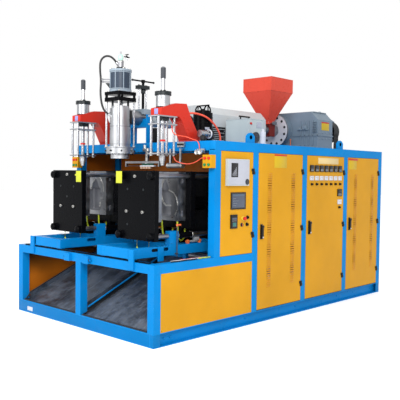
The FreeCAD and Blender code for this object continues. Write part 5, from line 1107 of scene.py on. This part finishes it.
def make_tank_details():
    ribs, loops = Shape(), Shape()
    for i in range(9):
        z = 1826.0 + 30 * i
        ribs.lathe("z", TANK, [(99.5, z - 4), (104.0, z - 2), (104.0, z + 2), (99.5, z + 4)], 56)
    ribs.done("tank_ribs", "black")
    angles = [math.pi * k / 12 for k in range(13)]
    for y in (TANK[1] - 62, TANK[1] + 62):
        loops.sweep([(TANK[0] + 48 * math.cos(a), y, 2122 + 66 * math.sin(a)) for a in angles], 7.5)
    loops.done("tank_loops", "black")
    slab("tank_plate", "window_grey", "machine", (1092, 1150), (452, 462), (1938, 1962), 1.5)
    cap = Shape().block((1118, 1212), (446, 470), (1850, 1925), 4.0)
    cap.lathe("y", (TANK[0], 1888.0), [(26.0, 446), (26.0, 434), (20.0, 428), (0, 428)], 28)
    cap.done("tank_motor_cap", "black_plastic")
    Shape().hex_bolts("z", on_circle(TANK, 70, 6), 2137, 1, 6.0).done("tank_bolts", "zinc")


def make_valve_details():
    flanges, gauges = Shape(), Shape()
    for x in (850.0, 895.0, 940.0):
        flanges.lathe("x", VALVE_LINE, [(28, x - 5), (35, x - 4), (35, x + 4), (28, x + 5)], 32)
    flanges.done("valve_flanges", "steel")
    bell = [(22.0, 1812), (30.0, 1818), (30.0, 1850), (20.0, 1860), (0, 1862)]
    regulator = Shape().lathe("z", (858.0, 262.0), bell, 32)
    regulator.block((838, 878), (244, 280), (1800, 1818), 2.0)
    regulator.done("valve_regulator", "black_plastic")
    nut = [(13, 983), (13, 989), (9, 991), (0, 991)]
    turned("handwheel_nut", "zinc", "x", VALVE_LINE, nut, 6, "valve_handwheel")
    rim = [(21.0, 716), (23.0, 715), (23.0, 694), (21.5, 693), (19.0, 694.5)]
    gauges.lathes("x", [(147.0, 1692.0), (195.0, 1692.0)], rim, 32).done("gauge_rims", "zinc")
    coils = Shape().lathes("x", [(y, 1771.0) for y in (410.0, 438.0, 466.0)],
                           [(9.0, 728), (9.0, 712), (6.0, 710)], 16)
    coils.done("solenoid_coils", "black_plastic")


def make_cover_details():
    """The seams, window hoods and screws of the barrel cover, and the loader's fittings."""
    frame_y = (COVER_FACE - 3, COVER_FACE + 1)
    left, right = VENT_X
    window, hoods, seams, screws, outlet = [Shape() for _ in range(5)]
    window.block((left, left + 9), frame_y, VENT_Z, 1.0)
    window.block((right - 9, right), frame_y, VENT_Z, 1.0)
    window.block((left, right), frame_y, (VENT_Z[1] - 10, VENT_Z[1]), 1.0)
    window.done("cover_vent_frame", "black_plastic")
    for i in range(10):
        z = VENT_Z[0] + 4 + 21 * i
        hoods.block((left + 9, right - 9), (COVER_FACE - 2.5, COVER_FACE + 0.5), (z, z + 14), 1.0)
    hoods.done("cover_vent_bars", "black_plastic")
    for x in (1700.0, 2130.0, 2500.0):
        seams.block((x, x + 3), (COVER_FACE - 0.8, COVER_FACE + 0.4), (1802, 2163), 0.3)
    seams.done("cover_seams", "cover")
    places = [(x, z) for x in range(1520, 2640, 140) for z in (2140, 1820)]
    screws.hex_bolts("y", places, COVER_FACE, -1, 4.5).done("cover_screws", "zinc")
    x, z = LOADER_FAN
    outlet.lathe("y", LOADER_FAN, [(55, 468), (58, 466), (58, 462), (50, 460), (46, 464), (0, 464)], 48)
    for tip in on_circle(LOADER_FAN, 46, 8):
        outlet.sweep([(x, 463, z), (tip[0], 463, tip[1])], 2.2, 8)
    outlet.lathe("y", LOADER_FAN, [(14, 464), (14, 459), (10, 457), (0, 457)], 24)
    outlet.done("loader_fan_guard", "knob_grey")
    slab("loader_lid", "housing", "machine", (1799, 2063), (476, 808), (2096, 2101), 1.5)


HOPPER_X = 2922
HOPPER_HALF = 226.5


def make_feed_details():
    bore = [(16.5, 3066), (16.5, 3064.6), (13.5, 3064.4), (13.5, 3065.8)]
    sockets = Shape().lathes("x", on_circle(SCREW_LINE, 168, 12, 0.5), bore, 24)
    sockets.done("flange_counterbores", "dark_cast")
    rim = [(205, 3068), (206.5, 3070), (206.5, 3092), (205, 3094)]
    turned("flange_rim", "steel", "x", SCREW_LINE, rim, 96)
    neck, folds = Shape(), Shape()
    for x in (3102.0, 3178.0):
        neck.lathe("x", SCREW_LINE, [(195, x - 5), (199, x - 3), (199, x + 3), (195, x + 5)], 96)
    neck.done("gearbox_neck_rims", "gear")
    pipe = [(6.0, 1800), (6.0, 1935), (9.0, 1937), (9.0, 1950), (5.0, 1954)]
    turned("oil_pipe", "orange_plastic", "z", (3130.0, 868.0), pipe, 14)
    left, near = HOPPER_X - HOPPER_HALF, MID_Y - HOPPER_HALF
    for z in (2536.0, 2702.0):
        folds.block((left, HOPPER_X + HOPPER_HALF), (near, near + 2), (z - 3, z + 3), 1.0)
        folds.block((left, left + 2), (near, MID_Y + HOPPER_HALF), (z - 3, z + 3), 1.0)
    folds.done("hopper_folds", "hopper")
    bolts = Shape().hex_bolts("z", corners((HOPPER_X, MID_Y), 64, 64), 2158, 1, 6.0)
    bolts.done("hopper_flange_bolts", "zinc")


GEARBOX_PLATE_X = (3276, 3447)


def make_gearbox_details():
    split = Shape().block((3178, 3542), (492, 504), (1985, 2001), 3.0)
    split.block((3178, 3190), (492, 870), (1985, 2001), 3.0).done("gearbox_split_flange", "gear")
    places = [(x, z) for x in (3215, 3300, 3385, 3470, 3515) for z in (2030, 1955)]
    Shape().hex_bolts("y", places, 500, -1, 8.0).done("gearbox_bolts", "gear_light")
    fins = Shape()
    for i in range(7):
        z = 2030.0 + 21 * i
        fins.block((3170, 3191), (512, 566), (z, z + 7), 1.5)
    fins.done("gearbox_fins", "gear")
    bearing = [(34, 3190), (36, 3172), (30, 3168), (24, 3168), (22, 3160), (0, 3160)]
    boss = Shape().lathe("x", (690.0, 2090.0), bearing, 36)
    boss.lathe("x", (760.0, 2080.0), [(18, 3190), (18, 3166), (12, 3162), (0, 3162)], 6)
    boss.block((3168, 3190), (620, 800), (2060, 2078), 4.0).done("gearbox_boss", "gear")
    slab("gearbox_plate", "field_yellow", "machine", GEARBOX_PLATE_X, (497.6, 500), (2061, 2150), 0.6)
    slab("gearbox_plate_strip", "field_red", "machine", GEARBOX_PLATE_X, (497.4, 500), (2150, 2166), 0.6)
    cap = Shape().block((3230, 3520), (590, 1210), (2290, 2300), 3.0)
    cap.lathe("z", (3470.0, 660.0), [(20, 2300), (20, 2314), (14, 2318), (0, 2318)], 6)
    cap.done("gearbox_lid", "gear_light")
    tab = Shape().profile([(3530, 2196), (3612, 2180), (3612, 2188), (3530, 2212)], (520, 600), 1.0)
    tab.done("gearbox_guard_tab", "gear_light")
    shroud = [(140, 3566), (146, 3566), (146, 3569), (60, 3569)]
    turned("pulley_shroud", "black", "x", (640.0, AXIS_Z), shroud, 64)


# ---- base ------------------------------------------------------------------------------------
BASE_COVER_Z = (8.2, 113.8)
LUG_X = (1286.0, 2942.0)


def make_base_details():
    places = [(x, 60) for x in (155, 230, 1270, 2120, 2970, 3760)]
    Shape().hex_bolts("y", places, 42.0, -1, 9.0).done("base_bolts", "blue")
    trim = Shape().sweep([(86, MID_Y - 46, 192), (1098, MID_Y - 46, 632)], 7.5, 16)
    trim.done("chute_trim", "blue")
    slope = [(82, 141), (1098, 584.5), (1098, 588), (82, 144.5)]
    Shape().profile(slope, (MID_Y - 42, MID_Y + 42), 0.5).done("chute_middle_strip", "sheet")
    edging, caps, ends, nuts, lugs = [Shape() for _ in range(5)]
    for right, left, rise in ((92, 1036, 6), (1131, 2074, 51)):
        line = [(1098, left, 584 + rise), (85, left, 143 + rise), (62, left, 133 + 0.5 * rise),
                (34, left - 4, 132), (14, left - 14, 130), (11, left - 40, 130), (11, right + 2, 130)]
        edging.sweep(line, 6.5, 12)
    edging.done("chute_edging", "hose_black")
    slab("base_tag", "white_plastic", "machine", (-0.9, 0), (1890, 1990), (24, 66), 0.3)
    for y in ((-1, 1), (WIDTH - 1, WIDTH + 1)):
        caps.block((0.5, 79.5), y, (632.5, 711.5), 0.6)
    for y in ((0.5, 79.5), (WIDTH - 79.5, WIDTH - 0.5)):
        for x in ((747, 749), (LENGTH - 2, LENGTH - 0.1)):
            caps.block(x, y, (1720.5, 1799.5), 0.6)
    caps.done("tube_caps", "blue")
    for x in ((0.2, 4), (LENGTH - 4, LENGTH - 0.2)):
        ends.block(x, (0.5, WIDTH - 0.5), BASE_COVER_Z, 0.5)
    for x in ((4.5, 80), (LENGTH - 80, LENGTH - 4.5)):
        for y in ((0.2, 4), (WIDTH - 4, WIDTH - 0.2)):
            ends.block(x, y, BASE_COVER_Z, 0.5)
    # The base's end covers take the darker blue, which is painted shade near the floor.
    ends.done("base_end_covers", "blue_painted_shade")
    for y, way in ((890, -1), (WIDTH - 890, 1)):
        nuts.lathe("y", (-15.0, 668.0), [(13.0, y), (13.0, y + 7 * way), (11.0, y + 8 * way)], 6)
    nuts.done("stop_nuts", "gear_dark")
    for x in LUG_X:
        lugs.lathe("y", (x, 1855.0), [(27, 20), (27, 18.5), (21, 18.5), (21, 20)], 36)
        lugs.lathe("y", (x, 1855.0), [(27, 2146), (27, 2147.5), (21, 2147.5), (21, 2146)], 36)
    lugs.done("lug_hole_rims", "blue")


LOOSE_HOSE_Z = 717.5
LOOSE_HOSE_WAVE = 5.0


def make_loose_hoses():
    """Spare lengths of tube that lie along the near side beam of the table."""
    for name, finish, start, end, y, phase in (
            ("white", "white_plastic", 250, 700, 58, 0.0), ("red", "hose_red", 380, 650, 71, 1.3),
            ("green", "hose_green", 590, 742, 45, 2.6), ("black", "hose_black", 230, 560, 34, 0.7)):
        path = []
        for i in range(13):
            x = start + (end - start) * i / 12
            path.append((x, y + LOOSE_HOSE_WAVE * math.sin(phase + i * 1.1), LOOSE_HOSE_Z))
        Shape().sweep(path, 5.5, 12).done("loose_hose_" + name, finish)


# ---- hoses ---------------------------------------------------------------------------------
def curve_through(name, points, diameter, finish):
    """A smooth tube guided by its route's points, in the frame's metres."""
    data = bpy.data.curves.new(name, "CURVE")
    data.dimensions = "3D"
    data.bevel_depth = diameter / 2000
    data.bevel_resolution = 6
    data.resolution_u = 10
    data.use_fill_caps = True
    spline = data.splines.new("NURBS")
    spline.points.add(len(points) - 1)
    for control, point in zip(spline.points, points):
        control.co = (*at(*point), 1.0)
    spline.order_u = 3
    spline.use_endpoint_u = True
    made = bpy.data.objects.new(name, data)
    bpy.context.scene.collection.objects.link(made)
    data.materials.append(MATERIALS[finish])
    return made


def route_length(piece):
    """Length of a curve's own line, in metres."""
    bare = piece.data.copy()
    bare.bevel_depth = 0
    probe = bpy.data.objects.new("probe", bare)
    mesh = bpy.data.meshes.new_from_object(probe)
    points = [v.co for v in mesh.vertices]
    total = sum((b - a).length for a, b in zip(points, points[1:]))
    bpy.data.objects.remove(probe)
    bpy.data.meshes.remove(mesh)
    return total


def hose(name, points, diameter, finish, node, body="machine"):
    piece = curve_through(name, points, diameter, finish)
    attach(piece, body)
    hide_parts(node)
    route_length(piece)


# The head hose is drawn about the head's axis; the air lines are drawn from the near blow pin,
# and the water hoses from their own station's middle.
HEAD_HOSE = ((42.7, 0, 2598.5), (80, 0, 2652), (152, 0, 2668), (206, 0, 2618), (208, 0, 2520),
             (196, 0, 2410), (203, 6, 2300), (188, 20, 2180), (152, 48, 2100), (108.5, 57.8, 2074.1))
AIR_HOSE = ((797.3, 17, 2056.5), (869.6, 17, 2090.7), (985, -3, 2086), (1090, -15, 2062), (1190, -23, 2005),
            (1258, -27, 1930), (1285, -29, 1876), (1285, -29, 1800))
AIR_TUBES = (
    ((560, -65, 1944), (560, -65, 1885), (605, -73, 1852), (662, -87, 1848), (712, -117, 1840),
     (737, -163, 1818), (738, -228, 1804), (738, -258, 1766), (738, -258, 1726)),
    ((615, -38, 1668), (615, -38, 1620), (650, -83, 1592), (700, -133, 1580), (722, -193, 1590),
     (722, -263, 1615), (718, -303, 1640), (718, -348, 1640)),
)
WATER_HOSES = (
    ((625, -168, 1040), (625, -168, 850), (748, -148, 850), (748, -148, 965)),
    ((625, 45, 1040), (625, 45, 850), (748, 20, 850), (748, 20, 965)),
)


def from_pin(points):
    return [(x, BLOW_Y["near"] + y, z) for x, y, z in points]


def make_hoses():
    points = [head_place(out, aside, z) for out, aside, z in HEAD_HOSE]
    hose("head_hose_line", points, 20, "hose_black", "head_hose")
    hose("air_hose", from_pin(AIR_HOSE), 20, "hose_red", "air_tubes")
    for i, route in enumerate(AIR_TUBES):
        hose("air_tube_%d" % (i + 1), from_pin(route), 9, "hose_red", "air_tubes")
    for side, middle in STATION_Y.items():
        for i, route in enumerate(WATER_HOSES):
            placed = [(x, middle + y * OUTWARD[side], z) for x, y, z in route]
            hose("%s_water_hose_%d" % (side, i + 1), placed, 17, "hose_green", side + "_water_hoses",
                 side + "_rear_clamp")


# ---- stage ---------------------------------------------------------------------------------
FLOOR_HALF = 40.0
KEY_LIGHT = ((-5.2, -4.6, 4.2), (-0.3, 0, 1.0), 2.6, 330)
LEFT_LIGHT = ((-7.0, 0.8, 3.5), (-1.5, 0, 1.2), 3.0, 150)


def area_light(name, place, target, size, power):
    data = bpy.data.lights.new(name, "AREA")
    data.size = size
    data.energy = power
    light = bpy.data.objects.new(name, data)
    bpy.context.scene.collection.objects.link(light)
    light.location = place
    light.rotation_mode = "QUATERNION"
    light.rotation_quaternion = (Vector(target) - Vector(place)).to_track_quat("-Z", "Y")


def make_stage():
    data = bpy.data.meshes.new("floor")
    half = FLOOR_HALF
    square = [(-half, -half, 0), (half, -half, 0), (half, half, 0), (-half, half, 0)]
    data.from_pydata(square, [], [(0, 1, 2, 3)])
    floor = bpy.data.objects.new("floor", data)
    bpy.context.scene.collection.objects.link(floor)
    m = Material("floor", (0.92, 0.92, 0.92), rough=0.8)
    m.paint(m.mix(m.ramp(m.noise(0.6, 3.0), 0.3, 0.7), (0.91, 0.91, 0.91), (0.93, 0.93, 0.93)))
    m.set(Specular_IOR_Level=0.1, Emission_Color=(1, 1, 1, 1), Emission_Strength=0.22)
    data.materials.append(m.data)
    world = bpy.data.worlds.new("world")
    world.use_nodes = True
    background = world.node_tree.nodes["Background"]
    background.inputs["Color"].default_value = (1.0, 1.0, 1.0, 1.0)
    background.inputs["Strength"].default_value = 1.0
    bpy.context.scene.world = world
    area_light("key", *KEY_LIGHT)
    area_light("left", *LEFT_LIGHT)
    bpy.context.scene.view_settings.view_transform = "Standard"


make_camera()
make_enamels()
make_metals()
make_plastics()
make_hoses()
finish_nodes()
repaint_frames()
repaint_head_and_extruder()
repaint_deck_and_doors()
make_louvres()
make_door_details()
make_control_details()
make_instrument_rows()
for make_station_details in (make_platen_details, make_mould_details, make_carriage_details):
    for station, station_y in STATION_Y.items():
        make_station_details(station, station_y)
make_air_fittings()
make_head_details()
make_head_cylinder_details()
for station, pin_y in BLOW_Y.items():
    make_blow_details(station, pin_y)
make_knife_details()
make_jack_details()
make_boxes_by_the_head()
make_hinge_leaves()
make_tank_details()
make_valve_details()
make_cover_details()
make_feed_details()
make_gearbox_details()
make_base_details()
make_loose_hoses()
make_stage()

bpy.context.view_layer.update()
